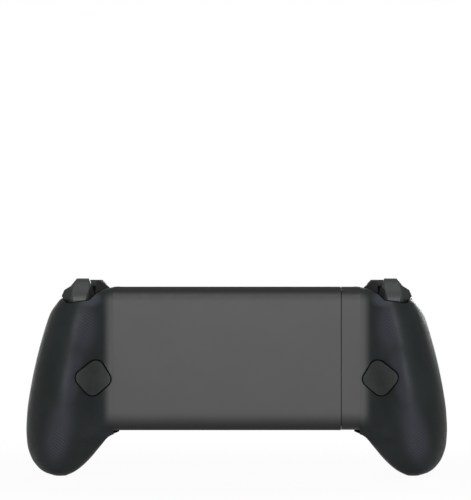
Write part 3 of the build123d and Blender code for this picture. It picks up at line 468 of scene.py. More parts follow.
def turned(name, x, z, profile, look, body, steps, wave=None):
    """Turns a profile of (radius, depth) points about Y. wave(index, angle) adds to a radius."""
    vertices = []
    for index, (radius, depth) in enumerate(profile):
        for step in range(steps):
            angle = 2 * math.pi * step / steps
            reach = radius + (wave(index, angle) if wave else 0.0)
            vertices.append((x + reach * math.cos(angle), depth, z + reach * math.sin(angle)))
    piece = mesh_piece(name, vertices, wrapped(len(profile), steps), look, body)
    outward(piece.data, turned_weld)
    return piece


def middle(name):
    low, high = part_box(name)
    return tuple((a + b) / 2 for a, b in zip(low, high))


# Camera, seen from the rear as in the lower picture: 0.5354 mm a pixel, frame centre at row 250

picture_scale = 0.5354 * mm
frame_width, frame_height = 471, 500
ground_row, centre_column = 476.2, 236.75
camera_standoff = 0.02
camera_data = bpy.data.cameras.new("camera")
camera_data.sensor_fit = "HORIZONTAL"
camera_data.sensor_width = 36.0
camera_data.lens = 300.0
camera = new_object("camera", camera_data)
scene.camera = camera
distance = frame_width * picture_scale * camera_data.lens / camera_data.sensor_width
centre_x = (centre_column - frame_width / 2) * picture_scale
centre_z = (ground_row - frame_height / 2) * picture_scale
camera.location = (centre_x, distance + camera_standoff, centre_z)
camera.rotation_euler = (math.radians(90.0), 0.0, math.radians(180.0))
camera_data.clip_end = 50.0


# Floor, backdrop and lights

# Share of the white backdrop that shows in the plastic's gloss
white_mirrored = 0.4

# Distance from the object over which the floor's own shade gives way to the white, and its shares
floor_near, floor_far = 0.10, 0.42
floor_shares = (0.95, 1.0)
floor_level = -0.02 * mm
white = (1.0, 1.0, 1.0, 1.0)


def white_share(tree):
    """How white a ray sees the surroundings: wholly from the camera, partly in a reflection."""
    rays = tree.nodes.new("ShaderNodeLightPath").outputs
    seen = maths("MAXIMUM", rays["Is Camera Ray"], rays["Is Transmission Ray"])
    mirrored = product(rays["Is Glossy Ray"], white_mirrored)
    return maths("MAXIMUM", seen, mirrored)


def shader_mix(factor, first, second, end):
    tree = factor.id_data
    mix = tree.nodes.new("ShaderNodeMixShader")
    for socket, source in zip(mix.inputs, (factor, first, second)):
        link(source, socket)
    link(mix.outputs["Shader"], tree.nodes[end].inputs["Surface"])


def circle(x, z, radius, steps=64):
    angles = [2 * math.pi * k / steps for k in range(steps)]
    return [(x + radius * math.cos(angle), z + radius * math.sin(angle)) for angle in angles]


def stage_sheet():
    """One pale round floor. It runs on into the world's white."""
    steps, radii = 96, (0.25, 0.5, 1.0, 2.0, 4.0, 8.0)
    vertices = [(x, y, 0.0) for radius in radii for x, y in circle(0.0, 0.0, radius, steps)]
    centre = len(vertices)
    faces = [face[::-1] for face in wrapped(len(radii), steps)]
    faces += [(centre, step, (step + 1) % steps) for step in range(steps)]
    mesh = new_mesh("floor", [*vertices, (0.0, 0.0, 0.0)], faces, smooth=True)
    sheet = new_object("floor", mesh)
    material, shader, place, _ = new_material("floor")
    mixed = blended(mottled(place, 3.0, 3.0), (0.86, 0.86, 0.86), (0.88, 0.88, 0.88))
    link(mixed, shader.inputs["Base Color"])
    shader.inputs["Roughness"].default_value = 0.9
    shader.inputs["Specular IOR Level"].default_value = 0.1
    tree = material.node_tree
    backdrop = add_node(tree, "ShaderNodeEmission", Color=white, Strength=1.0)
    far = add_node(tree, "ShaderNodeVectorMath", operation="LENGTH")
    link(place, far.inputs[0])
    away = span(far.outputs["Value"], floor_near, floor_far, *floor_shares)
    shader_mix(product(white_share(tree), away), shader.outputs["BSDF"],
               backdrop.outputs["Emission"], "Material Output")
    mesh.materials.append(material)
    sheet.location.z = floor_level


stage_sheet()

scene.view_settings.view_transform = "Standard"
scene.view_settings.look = "None"
world = bpy.data.worlds.new("world")
world.use_nodes = True
sky = world.node_tree
light_on_object = sky.nodes["Background"]
light_on_object.inputs["Color"].default_value = white
light_on_object.inputs["Strength"].default_value = 0.1
white_seen = add_node(sky, "ShaderNodeBackground", Color=white, Strength=1.0)
shader_mix(white_share(sky), light_on_object.outputs["Background"],
           white_seen.outputs["Background"], "World Output")
scene.world = world


# Lamps: place, size and watts. Each one points at the object's middle
aim = Vector((0.0, 0.0, 0.06))
lamps = {
    "rear_key": ((0.15, 1.3, 0.5), (0.5, 0.4), 7.0),
    "rear_fill": ((-0.3, 1.25, 0.3), (0.5, 0.4), 2.9),
    "front_key": ((-0.5, -1.3, 0.45), (0.5, 0.4), 9.5),
    "front_fill": ((0.5, -1.3, 0.1), (0.5, 0.4), 1.0),
    "top_light": ((0.0, 0.1, 1.2), (0.8, 0.8), 2.0),
}
for name, (place, size, power) in lamps.items():
    data = bpy.data.lights.new(name, "AREA")
    data.shape = "RECTANGLE"
    data.size, data.size_y = size
    data.energy = power
    light = new_object(name, data)
    light.location = place
    light.rotation_euler = (aim - Vector(place)).to_track_quat("-Z", "Y").to_euler()


# Grips: a smooth skin over each handle, from sections like the solids' own

seat_x = 63.7 * mm
span_x = 50.0 * mm
tall = 106.0 * mm
face_depth = 15.0 * mm
grip_depth = 29.0 * mm
bridge_end = 66.3 * mm
skin_wall = 2.0 * mm
parting_width = 0.002 * mm
shoulder_edge, inner_edge = 2.6 * mm, 0.3 * mm

# A skin's sections, its rows up to the shoulder's edge and round it, and those across its top, as
# shares of the way out from its crest
section_count = 150
body_rows, arc_rows = 84, 8
row_crowding = 1.35
top_shares = (0.85, 0.6, 0.3)
crest_x, crest_y = seat_x + 0.24 * span_x, -1.0 * mm

# The shoulder's edge is softest towards the rear: its least share, and the depth over which it grows
least_edge, edge_growth = 0.35, 8 * mm

# (level, inner, outer, front, rear, crest, waist, flat start, flat end, flank out, flank up, bridged)
section_rows = [
    (0.000, 0.560, 0.690, -0.33, 0.57, 0.622, 0.38, 0.42, 0.58, 0.18, 0.68, 0.0),
    (0.013, 0.492, 0.786, 0.04, 0.72, 0.635, 0.36, 0.40, 0.60, 0.18, 0.66, 0.0),
    (0.038, 0.410, 0.866, 0.40, 0.82, 0.640, 0.34, 0.36, 0.64, 0.18, 0.62, 0.0),
    (0.085, 0.304, 0.942, 0.74, 0.90, 0.630, 0.32, 0.26, 0.68, 0.20, 0.55, 0.0),
    (0.151, 0.186, 0.988, 0.96, 0.96, 0.615, 0.30, 0.10, 0.74, 0.24, 0.42, 0.0),
    (0.195, 0.104, 0.997, 1.00, 0.98, 0.605, 0.34, 0.03, 0.78, 0.28, 0.28, 0.4),
    (0.228, -0.034, 1.000, 1.00, 0.99, 0.600, 0.448, 0.00, 0.82, 0.31, 0.14, 1.0),
    (0.321, -0.034, 0.990, 1.00, 1.00, 0.590, 0.448, 0.00, 0.84, 0.32, 0.09, 1.0),
    (0.434, -0.034, 0.956, 1.00, 0.99, 0.570, 0.448, 0.00, 0.84, 0.33, 0.08, 1.0),
    (0.566, -0.034, 0.900, 1.00, 0.93, 0.530, 0.448, 0.00, 0.84, 0.33, 0.08, 1.0),
    (0.708, -0.034, 0.822, 1.00, 0.83, 0.480, 0.448, 0.00, 0.84, 0.32, 0.09, 1.0),
    (0.830, -0.034, 0.736, 1.00, 0.74, 0.420, 0.448, 0.00, 0.84, 0.30, 0.10, 1.0),
    (0.970, -0.034, 0.576, 1.00, 0.60, 0.360, 0.448, 0.00, 0.84, 0.30, 0.10, 1.0),
]
shoulder_shares = [
    (-0.100, 0.956), (0.000, 0.956), (0.106, 0.949), (0.494, 0.914), (0.614, 0.897), (0.698, 0.858),
    (0.830, 0.800), (1.100, 0.700),
]


def smooth_through(points, x):
    """Value at x of a smooth curve through the points that doesn't overshoot between them."""
    x = min(max(x, points[0][0]), points[-1][0])
    slopes = [(b[1] - a[1]) / (b[0] - a[0]) for a, b in zip(points, points[1:])]

    def tangent(i):
        before, after = slopes[max(i - 1, 0)], slopes[min(i, len(slopes) - 1)]
        return 2 * before * after / (before + after) if before * after > 0 else 0.0

    i = max(k for k in range(len(points) - 1) if points[k][0] <= x)
    (x0, y0), (x1, y1) = points[i], points[i + 1]
    width = x1 - x0
    t = (x - x0) / width
    return (
        y0 * (1 + 2 * t) * (1 - t) ** 2
        + y1 * t * t * (3 - 2 * t)
        + width * (tangent(i) * t * (1 - t) ** 2 - tangent(i + 1) * t * t * (1 - t))
    )


def hermite(p0, p1, m0, m1, steps):
    """Points of a cubic from p0 up to, but without, p1."""
    points = []
    for step in range(steps):
        t = step / steps
        a, b = (1 + 2 * t) * (1 - t) ** 2, t * t * (3 - 2 * t)
        c, d = t * (1 - t) ** 2, -t * t * (1 - t)
        points.append(tuple(a * p + b * q + c * m + d * n for p, q, m, n in zip(p0, p1, m0, m1)))
    return points


# Tangent that bends a hermite leg into a quarter of an ellipse, those of the legs by the flank, and how
# far back a section is widest
quarter = 1.657
flank_pull, corner_pull, through_pull = 1.1, 1.2, 0.42
widest = 0.32
bridge_low, bridge_high, bridge_deep = 24.1 * mm, 101.3 * mm, 13.0 * mm
bridge_wall = 1.2 * mm
bottom_round = (8.0 * mm, 4.6 * mm)
top_round = (6.0 * mm, 3.6 * mm)


def bridge_rear(z):
    """How far the bridge's rear stands out at a level. It curves in to its top and bottom."""
    for edge_z, inwards, (height, depth) in ((bridge_low, 1, bottom_round), (bridge_high, -1, top_round)):
        past = height - (z - edge_z) * inwards
        if past > 0:
            return bridge_deep - depth + depth * math.sqrt(max(0.0, 1 - min(1.0, past / height) ** 2))
    return bridge_deep


def section_points(z, inset):
    """The handle's outline at a level, drawn in by the inset, as (x, y) points."""
    share = z / tall
    values = [smooth_through([(row[0], row[k]) for row in section_rows], share) for k in range(1, 12)]
    inner, outer, front, rear, crest, waist, flat_start, flat_end, flank_out, flank_up, bridged = values
    left, right = seat_x + inner * span_x + inset, seat_x + outer * span_x - inset
    near, far = -front * face_depth + inset, rear * grip_depth - inset
    waist_y = waist * grip_depth - (bridge_deep - bridge_rear(z)) * bridged - inset * bridged
    start = (left + flat_start * (right - left), near)
    end = (left + flat_end * (right - left), near)
    outermost = (right, near + widest * (far - near))
    top = (seat_x + crest * span_x, far)
    corner = (left, waist_y)
    flank = (left + flank_out * (top[0] - left), waist_y + flank_up * (far - waist_y))
    free = 1 - bridged
    fall = corner[1] - near
    along = (end[0] - start[0], 0)
    through = ((corner[0] - top[0]) * through_pull, (corner[1] - top[1]) * through_pull)
    into_corner = (-flank_pull * (flank[0] - left) * bridged, -corner_pull * (flank[1] - waist_y) * free)
    legs = [
        (start, end, along, along, 12),
        (end, outermost, (quarter * (right - end[0]), 0), (0, quarter * (outermost[1] - near)), 22),
        (outermost, top, (0, quarter * (far - outermost[1])), (-quarter * (right - top[0]), 0), 34),
        (top, flank, (-flank_pull * (top[0] - flank[0]), 0), through, 22),
        (flank, corner, through, into_corner, 14),
        (corner, start, (0, -(1 + (quarter - 1) * free) * fall),
         (quarter * (start[0] - left) * free, -fall * bridged), 22),
    ]
    return [point for leg in legs for point in hermite(*leg)]


def shoulder_height(x, drop):
    return smooth_through(shoulder_shares, (x - seat_x) / span_x) * tall - drop


def capped(rows, foot, crown):
    """Mesh data of rows that close round, with a fan of triangles at each end."""
    count = len(rows[0])
    vertices = [point for row in rows for point in row] + [foot, crown]
    faces = wrapped(len(rows), count)
    bottom, top, last = len(vertices) - 2, len(vertices) - 1, (len(rows) - 1) * count
    for k in range(count):
        faces.append((bottom, (k + 1) % count, k))
        faces.append((top, last + k, last + (k + 1) % count))
    return vertices, faces


def handle_skin(inset, edge):
    """Closed mesh data of the handle, drawn in by the inset, its shoulder rounded by the edge."""
    lowest = 0.0 if inset == 0 else 0.02 * tall
    reach = tall * 0.995 - lowest
    table = [section_points(lowest + reach * step / section_count, inset)
             for step in range(section_count + 1)]
    count = len(table[0])

    def at(z, k):
        place = min(max((z - lowest) / reach * section_count, 0.0), section_count - 0.001)
        i = int(place)
        (x0, y0), (x1, y1) = table[i][k], table[i + 1][k]
        return x0 + (x1 - x0) * (place - i), y0 + (y1 - y0) * (place - i)

    def edge_radius(y):
        return edge * (least_edge + (1 - least_edge) * min(1.0, max(0.0, (y + face_depth) / edge_growth)))

    def over(z, k):
        x, y = at(z, k)
        return z - (shoulder_height(x, inset) - edge_radius(y)), edge_radius(y)

    def reached(k, turned_by):
        """The level at which a column of points has gone so far round the shoulder's edge."""
        low, high = 0.5 * tall, 1.05 * tall
        for _ in range(34):
            half = (low + high) / 2
            above, radius = over(half, k)
            low, high = (half, high) if above < radius * turned_by else (low, half)
        return low

    def drawn_over(ring, k):
        """A point of a ring, bent inwards where it's past the start of the shoulder's edge."""
        x, y, z = ring[k]
        above, radius = over(z, k)
        if above <= 0:
            return x, y, z
        (ax, ay, _), (bx, by, _) = ring[k - 1], ring[(k + 1) % count]
        direction = Vector((bx - ax, by - ay)).normalized()
        inward = Vector((crest_x - x, crest_y - y)).normalized()
        turn = min(above / radius, math.pi / 2)
        facing_in = max(0.5, direction.x * inward.y - direction.y * inward.x)
        shift = radius * (1 - math.cos(turn)) / facing_in
        x, y = x + inward.x * shift, y + inward.y * shift
        return x, y, shoulder_height(x, inset) - radius + radius * math.sin(turn)

    starts = [reached(k, 0.0) for k in range(count)]
    ends = [reached(k, math.pi / 2) for k in range(count)]
    rows = []
    for step in range(body_rows + arc_rows + 1):
        ring = []
        for k in range(count):
            if step <= body_rows:
                z = lowest + (starts[k] - lowest) * (step / body_rows) ** row_crowding
            else:
                z = starts[k] + (ends[k] - starts[k]) * (step - body_rows) / arc_rows
            ring.append((*at(z, k), z))
        rows.append([drawn_over(ring, k) for k in range(count)])
    rim = rows[-1]
    for share in top_shares:
        inside = [(crest_x + (x - crest_x) * share, crest_y + (y - crest_y) * share) for x, y, _ in rim]
        rows.append([(x, y, shoulder_height(x, inset)) for x, y in inside])
    foot = [sum(p[k] for p in rows[0]) / count for k in range(3)]
    rows.insert(0, [tuple(f + (v - f) * 0.5 for v, f in zip(p, foot)) for p in rows[0]])
    return capped(rows, tuple(foot), (crest_x, crest_y, shoulder_height(crest_x, inset)))


def prism_faces(count):
    """Faces of a closed prism, whose vertices are its front outline and then its rear one."""
    ends = [tuple(range(count)), tuple(range(2 * count - 1, count - 1, -1))]
    return ends + [(k, k + count, (k + 1) % count + count, (k + 1) % count) for k in range(count)]


def prism(outline, depth_low, depth_high, flat):
    """Closed prism of an outline. flat(u, v, depth) puts a point of it in place."""
    vertices = [flat(u, v, d) for d in (depth_low, depth_high) for u, v in outline]
    return vertices, prism_faces(len(outline))


def on_face(u, v, depth):
    return (u, depth, v)


def from_below(u, v, depth):
    return (u, v, depth)


def with_neighbours(corners):
    return zip(corners[-1:] + corners[:-1], corners, corners[1:] + corners[:1])


def round_corner(before, here, after, radius, steps):
    """An arc in place of a corner, or the corner itself where it hardly turns."""
    here = Vector(here)
    before, after = (Vector(before) - here).normalized(), (Vector(after) - here).normalized()
    half = before.angle(after) / 2
    if half > math.radians(89.0):
        return [tuple(here)]
    back = radius / math.tan(half)
    centre = here + (before + after).normalized() * (radius / math.sin(half))
    a, b = here + before * back - centre, here + after * back - centre
    sweep = math.atan2(a.x * b.y - a.y * b.x, a.dot(b))
    turns = [Matrix.Rotation(sweep * step / steps, 2) for step in range(steps + 1)]
    return [tuple(centre + turn @ a) for turn in turns]


def rounded(corners, radius, steps=8):
    """A polygon with its corners rounded. Corners are listed anticlockwise, here and in grown."""
    return [point for corner in with_neighbours(corners) for point in round_corner(*corner, radius, steps)]


def grown(corners, amount):
    """A polygon's corners moved outwards, so that each side moves by the amount."""
    moved = []
    for before, here, after in with_neighbours([Vector(c) for c in corners]):
        a, b = (here - before).normalized(), (after - here).normalized()
        normal_a, normal_b = Vector((a.y, -a.x)), Vector((b.y, -b.x))
        lift = (normal_a + normal_b) / (1 + normal_a.dot(normal_b))
        moved.append(tuple(here + lift * amount))
    return moved


def placed_shares(shares):
    return [(seat_x + x * span_x, z * tall) for x, z in shares]


trigger_corners = placed_shares([
    (0.250, 0.918), (0.314, 0.891), (0.546, 0.876), (0.614, 0.907), (0.582, 0.940), (0.510, 0.960),
    (0.448, 0.998), (0.320, 0.998),
])
back_corners = placed_shares([(0.215, 0.602), (0.058, 0.480), (0.280, 0.392), (0.478, 0.506)])


def in_mm(points):
    return [(u * mm, v * mm) for u, v in points]


# The dark shoulder piece between trigger and bridge, seen behind the bumper, in mm
shoulder_outline = [(75.8, 97.75), (75.8, 104.7), (73.4, 104.8), (70.6, 102.5), (68.4, 100.8), (71.7, 99.8)]
shoulder_cut = [(76.7, 96.7), (76.7, 108.0), (68.0, 108.0), (68.0, 101.0), (71.3, 100.1)]


def joined(parts):
    """Mesh data of several parts in one."""
    vertices, faces = [], []
    for some_vertices, some_faces in parts:
        base = len(vertices)
        vertices += some_vertices
        faces += [tuple(index + base for index in face) for face in some_faces]
    return vertices, faces


def raw_object(name, data, flip):
    """A mesh object with its normals out."""
    mesh = new_mesh(name, [(flip * x, y, z) for x, y, z in data[0]], data[1])
    outward(mesh)
    return new_object(name, mesh)


def cut(item, cutter):
    carve = item.modifiers.new("cut", "BOOLEAN")
    carve.operation = "DIFFERENCE"
    carve.solver = "EXACT"
    carve.object = cutter
    bpy.context.view_layer.update()
    result = bpy.data.meshes.new_from_object(item.evaluated_get(bpy.context.evaluated_depsgraph_get()))
    item.modifiers.clear()
    item.data = result
    bpy.data.objects.remove(cutter)


def stepped_well(x, z, steps):
    """A turned pocket: (radius, depth) steps from the face inwards."""
    ring = [(steps[0][0], well_front)]
    for (radius, depth), (following, _) in zip(steps, steps[1:]):
        ring += [(radius, depth), (following, depth)]
    ring.append(steps[-1])
    around = 96
    vertices = [(u, depth, v) for radius, depth in ring for u, v in circle(x, z, radius, around)]
    last = (len(ring) - 1) * around
    ends = [tuple(range(around)), tuple(last + k for k in reversed(range(around)))]
    return vertices, wrapped(len(ring), around) + ends


def slot_outline(x, z, half_length, radius):
    """An outline with straight sides and round ends."""
    points = []
    for end in (1, -1):
        for k in range(17):
            angle = math.pi * k / 16 - end * math.pi / 2
            across = end * (half_length - radius) + radius * math.cos(angle)
            points.append((x + across, z + radius * math.sin(angle)))
    return points


def cross_points(x, z, reach, half_width, radius):
    """A cross whose arms have rounded ends."""
    arm = [(half_width, -half_width), (reach, -half_width), (reach, half_width)]
    corners = []
    for _ in range(4):
        corners += arm
        arm = [(-v, u) for u, v in arm]
    points = []
    for before, (u, v), after in with_neighbours(corners):
        at_end = reach in (abs(u), abs(v))
        points += round_corner(before, (u, v), after, radius, 8) if at_end else [(u, v)]
    return [(x + u, z + v) for u, v in points]


def seat_cutter():
    """Takes away what would fill the bridge and the room between the handles."""
    far, foot, head = 40 * mm, -20 * mm, 130 * mm
    outline = [(0.0, -far), (seat_x, -far), (seat_x, 0.0), (bridge_end, 0.0), (bridge_end, far), (0.0, far)]
    return prism(outline, foot, head, from_below)


def local_place(name):
    x, _, z = middle(name)
    return abs(x), z


# Cutters of the grip skin: depths in front of the face and behind the back, and how deep holes go
before_face, behind_back = -20 * mm, 40 * mm
button_deep, small_button_deep = -9 * mm, -10.5 * mm

# Room round the trigger and the back button, and the rounding of the room's corners
trigger_room, trigger_rounding, trigger_front = 0.4 * mm, 1.6 * mm, -2.2 * mm
back_room, back_rounding, back_front = 0.7 * mm, 4.8 * mm, 0.6 * mm

# Steps by which the inside of the grip makes room for the front of a pulled trigger, and its depths
trigger_reliefs = (0.9 * mm, 1.8 * mm, 2.7 * mm)
relief_front, relief_rear = -2.0 * mm, 9.8 * mm

# The front and rear of the room round the shoulder piece, and the foot and head of the socket's slot
shoulder_span = (-1.0 * mm, 39 * mm)
socket_span = (-5 * mm, 34 * mm)

# (radius, depth) steps of the wells for the stick collars, and half length and radius of slots
well_front = -face_depth - 3 * mm
stick_well = [(13.15 * mm, -13.8 * mm), (11.95 * mm, -9 * mm)]
socket_slot = (4.5 * mm, 1.65 * mm)
pill_slot = (7.0 * mm, 3.35 * mm)

# The D-pad's hole: its arms' reach, half width and rounding, and the floor of the recess round it
cross_reach, cross_half, cross_rounding = 12.3 * mm, 4.75 * mm, 2.3 * mm
recess_floor = -14.6 * mm

# Round holes in each face: node, radius and depth
round_holes = {
    "right": [
        *((f"face_button_{number}", 5.35 * mm, button_deep) for number in range(1, 5)),
        ("home_button", 5.22 * mm, button_deep),
        ("menu_button", 3.45 * mm, small_button_deep),
    ],
    "left": [("view_button", 3.45 * mm, small_button_deep)],
}


def face_cutters(side):
    """Cutters for what stands in a grip's face, and for the socket under the right grip."""
    stick_x, stick_z = local_place(f"{side}_stick_collar")
    parts = [stepped_well(stick_x, stick_z, stick_well)]
    for name, radius, depth in round_holes[side]:
        x, z = local_place(name)
        parts.append(prism(circle(x, z, radius), before_face, depth, on_face))
    if side == "right":
        socket_x, socket_y, _ = middle("charging_socket")
        outline = slot_outline(socket_x, socket_y, *socket_slot)
        parts.append(prism(outline, *socket_span, from_below))
        return parts
    inner_x, pill_z = local_place("pill_button_inner")
    outer_x, _ = local_place("pill_button_outer")
    outline = slot_outline((inner_x + outer_x) / 2, pill_z, *pill_slot)
    parts.append(prism(outline, before_face, button_deep, on_face))
    x, z = local_place("dpad")
    outline = cross_points(x, z, cross_reach, cross_half, cross_rounding)
    parts.append(prism(outline, before_face, button_deep, on_face))
    return parts


def build_grip(side):
    """One grip's skin. Cutters that overlap are cut one after the other."""
    flip = flips[side]
    skin = raw_object(f"{side}_grip_skin", handle_skin(0.0, shoulder_edge), flip)
    trigger_outline = grown(trigger_corners, trigger_room)
    back_outline = grown(back_corners, back_room)
    parts = [
        seat_cutter(),
        prism(rounded(trigger_outline, trigger_rounding), trigger_front, behind_back, on_face),
        prism(rounded(back_outline, back_rounding), back_front, behind_back, on_face),
        *face_cutters(side),
    ]
    cutters = [
        handle_skin(skin_wall, inner_edge),
        joined(parts),
        prism(in_mm(shoulder_cut), *shoulder_span, on_face),
    ]
    for drop in trigger_reliefs:
        lowered = rounded([(u, v - drop) for u, v in trigger_outline], trigger_rounding)
        cutters.append(prism(lowered, relief_front, relief_rear, on_face))
    if side == "left":
        x, z = local_place("dpad")
        cutters.append(prism(circle(x, z, cross_reach, 96), before_face, recess_floor, on_face))
    for data in cutters:
        cut(skin, raw_object("cutter", data, flip))
    finish_skin(skin, side)


def finish_skin(skin, side):
    """Face and grip plastic, parted at y = 0, and smooth shading with crisp edges at the cuts."""
    mesh = skin.data
    mesh.materials.clear()
    mesh.materials.append(looks["grip_plastic"])
    mesh.materials.append(looks["face_plastic"])
    tidy = bmesh.new()
    tidy.from_mesh(mesh)
    bmesh.ops.remove_doubles(tidy, verts=tidy.verts, dist=skin_weld)
    everything = tidy.verts[:] + tidy.edges[:] + tidy.faces[:]
    bmesh.ops.bisect_plane(tidy, geom=everything, dist=parting_width, plane_co=(0, 0, 0), plane_no=(0, 1, 0))
    crisp(tidy, skin_crease)
    for face in tidy.faces:
        face.smooth = True
        face.material_index = 1 if face.calc_center_median().y < 0 else 0
    tidy.to_mesh(mesh)
    tidy.free()
    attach(skin, f"{side}_half")
    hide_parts(f"{side}_front_shell", f"{side}_rear_shell")


for side in flips:
    build_grip(side)


# Bridge: a cover in place of the sleeve, with softly curved edges


def bridge_ring(inset):
    """The bridge's rear section as (y, z) points, from its front at the bottom to its front at the top."""
    steps = 14
    lower, upper = [], []
    for k in range(steps + 1):
        turn = math.pi / 2 * k / steps
        for points, edge_z, inwards, (height, depth) in (
            (lower, bridge_low, 1, bottom_round), (upper, bridge_high, -1, top_round),
        ):
            rise = height - (height - inset) * math.cos(turn)
            points.append((bridge_deep - depth + (depth - inset) * math.sin(turn), edge_z + inwards * rise))
    return [(0.0, bridge_low + inset), *lower, *upper[::-1], (0.0, bridge_high - inset)]


def bridge_cover(start, end, wall):
    """A channel along X, open to the front: the bridge's rear section, a wall thick."""
    outer, inner = bridge_ring(0.0), bridge_ring(wall)
    ring = outer + inner[::-1]
    count, half = len(ring), len(outer)
    edge, edge_zone = 0.25 * mm, 5 * mm
    stations = [(start, edge), (start + edge, 0.0), (end, 0.0)]
    vertices = []
    for x, drawn in stations:
        for k, (y, z) in enumerate(ring):
            pull = drawn if k < half else 0.0
            y = y - pull * (y > bridge_deep - edge_zone)
            z = z + pull * ((z < bridge_low + edge_zone) - (z > bridge_high - edge_zone))
            vertices.append((x, y, z))
    faces = wrapped(len(stations), count)
    last = (len(stations) - 1) * count
    for k in range(half - 1):
        a, b, c, d = k, k + 1, count - 2 - k, count - 1 - k
        faces.append((a, d, c, b))
        faces.append((last + a, last + b, last + c, last + d))
    piece = mesh_piece("bridge_cover", vertices, faces, "bridge_plastic", "right_half")
    outward(piece.data, crease=bridge_crease)
    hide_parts("bridge_sleeve")


sleeve_low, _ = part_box("bridge_sleeve")
bridge_cover(sleeve_low[0], bridge_end, bridge_wall)


# Small dark pieces of each half. The shoulder piece's rear leans back from where X is slant_start, and
# its top hardly slopes, so that it doesn't mirror the white behind it
shoulder_front, slant_start, slant_y, slant = -0.6 * mm, 69.0 * mm, 2.2 * mm, 1.05
top_slope, slope_start = 0.02, 98.0 * mm
slit_outline = [(71.5, 98.4), (80.0, 97.2), (80.0, 101.9), (71.5, 101.6)]
slit_front, slit_rear = -3.4 * mm, -2.1 * mm
shoulder_rounding, slit_rounding, cap_rounding = 0.3 * mm, 0.5 * mm, 0.6 * mm

# The cheek's cap: how far it stays inside the cheek's box, its rear, and its foot and head over the cheek
cap_inner, cap_outer, cap_front = 0.1 * mm, 0.05 * mm, 0.4 * mm
cap_rear, cap_foot, cap_head = -0.1 * mm, -0.1 * mm, 1.3 * mm


def side_piece(side, name, data, look):
    item = raw_object(f"{side}_{name}", data, flips[side])
    item.data.materials.append(looks[look])
    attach(item, f"{side}_half")
    return item


def shoulder_piece(side):
    outline = rounded(in_mm(shoulder_outline), shoulder_rounding, 4)
    vertices = [(u, shoulder_front, v) for u, v in outline]
    for u, v in outline:
        rear = slant_y + (u - slant_start) * slant
        vertices.append((u, rear, v - top_slope * (v - slope_start)))
    data = (vertices, prism_faces(len(outline)))
    item = side_piece(side, "shoulder_piece", data, "shoulder_plastic")
    bevelled(item, shoulder_rounding, piece_bevel)


def slit_plate(side):
    """A thin dark wall between bumper and trigger, so that no light shows between them."""
    outline = rounded(in_mm(slit_outline), slit_rounding, 4)
    side_piece(side, "slit_plate", prism(outline, slit_front, slit_rear, on_face), "black_plastic")


def cheek_top(side):
    """The cheek's cap under the bridge's top edge."""
    low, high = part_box("right_cheek")
    left, right, front = low[0] + cap_inner, high[0] - cap_outer, low[1] + cap_front
    corners = [(left, front), (right, front), (right, cap_rear), (left, cap_rear)]
    outline = rounded(corners, cap_rounding, 4)
    data = prism(outline, high[2] + cap_foot, high[2] + cap_head, from_below)
    side_piece(side, "cheek_top", data, "black_plastic")


for side in flips:
    shoulder_piece(side)
    slit_plate(side)
    cheek_top(side)


# Thumb sticks: knurled rims, dished tops

stick_pivot_y = -5.0 * mm

# (radius, depth) in mm, from the top of the cap down: its dish, its rim and neck, and the metal ring.
# The left stick's dish ends at its ring, the right one's in a rounded rim
dish = [(0.0, 0.75), (2.5, 0.72), (4.5, 0.66), (5.6, 0.6), (5.75, 0.42), (6.6, 0.12), (7.2, 0.0), (8.4, 0.02)]
dish_ends = {"right": [(10.0, 0.8)], "left": [(9.8, 0.1), (9.8, 1.5), (10.4, 1.5)]}
rim = [(10.65, 1.6), (10.8, 1.9), (10.8, 2.9), (10.6, 3.2), (10.2, 3.5), (3.6, 3.5), (3.2, 3.9)]
band = [(9.9, 1.7), (9.9, 0.55), (10.05, 0.3), (10.25, 0.22), (10.5, 0.35), (10.7, 0.8), (10.7, 1.7),
        (9.9, 1.7)]

# The skirt under the cap: radius about the pivot, wall, where it starts, and how far it turns
skirt, skirt_wall, skirt_start = 11.5 * mm, 0.9 * mm, 3.2 * mm
skirt_turn, skirt_steps = math.radians(56.0), 12

# Knurls round the rim: count, height and how far they lie under the rim's own radius
knurls, knurl_height, knurl_depth = 60, 0.13 * mm, 0.1 * mm
knurl_radius, knurl_top, knurl_foot = 10.55 * mm, 1.4 * mm, 3.3 * mm


def below(top, shares):
    return [(radius * mm, top + depth * mm) for radius, depth in shares]


def skirt_arc(radius, first, last):
    turns = [first + (last - first) * k / skirt_steps for k in range(skirt_steps + 1)]
    return [(radius * math.sin(turn), stick_pivot_y - radius * math.cos(turn)) for turn in turns]


def stick_cap(side):
    x, _, z = middle(f"{side}_stick_collar")
    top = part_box(f"{side}_stick_cap")[0][1]
    start = math.asin(skirt_start / skirt)
    profile = below(top, dish + dish_ends[side] + rim)
    profile += skirt_arc(skirt, start, skirt_turn) + skirt_arc(skirt - skirt_wall, skirt_turn, start)
    knurled = [index for index, (radius, depth) in enumerate(profile)
               if radius > knurl_radius and top + knurl_top < depth < top + knurl_foot]

    def knurl(index, angle):
        return knurl_height * math.cos(angle * knurls) - knurl_depth if index in knurled else 0.0

    if side == "left":
        ring = turned("left_stick_ring_shape", x, z, below(top, band), "pale_metal", "left_cap", 192)
        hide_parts("left_stick_ring")
    cap = turned(f"{side}_stick_cap_shape", x, z, profile, "cap_rubber", f"{side}_cap", 360, knurl)
    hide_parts(f"{side}_stick_cap")


for side in flips:
    stick_cap(side)


# Marks: plain numerals and simple signs, a hair proud of the buttons

text_size, text_depth = 4.4 * mm, 0.03 * mm
bar_front, bar_rear = 0.04 * mm, 0.12 * mm

# Half lengths and half widths of the bars of each sign, and their places
menu_bar, menu_pitch = (1.0 * mm, 0.13 * mm), 0.75 * mm
view_bar, view_offset = (0.14 * mm, 0.9 * mm), 0.5 * mm
cross_bars = ((0.9 * mm, 0.16 * mm), (0.16 * mm, 0.9 * mm))

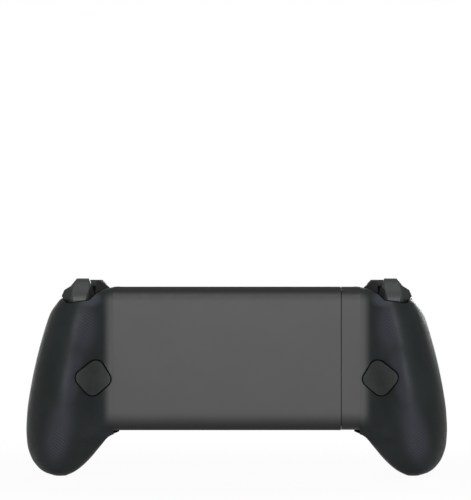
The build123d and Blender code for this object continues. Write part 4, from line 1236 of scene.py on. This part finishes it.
# (radius, depth) in mm of the home button's ring
glyph = [(1.5, -0.06), (2.0, -0.06), (2.0, 0.2), (1.5, 0.2), (1.5, -0.06)]


def button_place(name):
    """Middle of a button in X and Z, and its front."""
    x, _, z = middle(name)
    return x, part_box(name)[0][1], z


def numeral(number):
    """A raised numeral on its face button."""
    name = f"face_button_{number}"
    x, y, z = button_place(name)
    curve = bpy.data.curves.new(name, "FONT")
    curve.body = str(number)
    curve.size = text_size
    curve.align_x = curve.align_y = "CENTER"
    curve.extrude = text_depth
    source = new_object(name, curve)
    bpy.context.view_layer.update()
    flat = bpy.data.meshes.new_from_object(source)
    bpy.data.objects.remove(source)
    xs = [v.co.x for v in flat.vertices]
    ys = [v.co.y for v in flat.vertices]
    shift = Vector(((min(xs) + max(xs)) / 2, (min(ys) + max(ys)) / 2, 0.0))
    for vertex in flat.vertices:
        flat_place = vertex.co - shift
        vertex.co = (x + flat_place.x, y - flat_place.z, z + flat_place.y)
    flat.materials.clear()
    flat.materials.append(looks["marks"])
    piece = new_object(f"{name}_mark", flat)
    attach(piece, f"{name}_body")


def bar_mark(name, x, y, z, halves, body, turn=0.0):
    """A thin plate on a button, for signs made of bars."""
    u, v = halves
    lean = Matrix.Rotation(turn, 2)
    placed = [lean @ Vector(corner) for corner in ((-u, -v), (u, -v), (u, v), (-u, v))]
    plate = prism([(x + c.x, z + c.y) for c in placed], y - bar_front, y + bar_rear, on_face)
    mesh_piece(name, *plate, "marks", body, smooth=False)


for number in range(1, 5):
    numeral(number)
x, y, z = button_place("menu_button")
for k in (-1, 0, 1):
    bar_mark(f"menu_bar_{k + 2}", x, y, z + k * menu_pitch, menu_bar, "menu_button_body")
x, y, z = button_place("view_button")
for k, offset in enumerate((-view_offset, view_offset)):
    bar_mark(f"view_bar_{k + 1}", x + offset, y, z, view_bar, "view_button_body")
for name, turn in (("pill_button_inner", 0.0), ("pill_button_outer", math.pi / 4)):
    x, y, z = button_place(name)
    for k, halves in enumerate(cross_bars):
        bar_mark(f"{name}_bar_{k + 1}", x, y, z, halves, f"{name}_body", turn)
x, y, z = button_place("home_button")
turned("home_glyph", x, z, below(y, glyph), "marks", "home_button_body", 48)
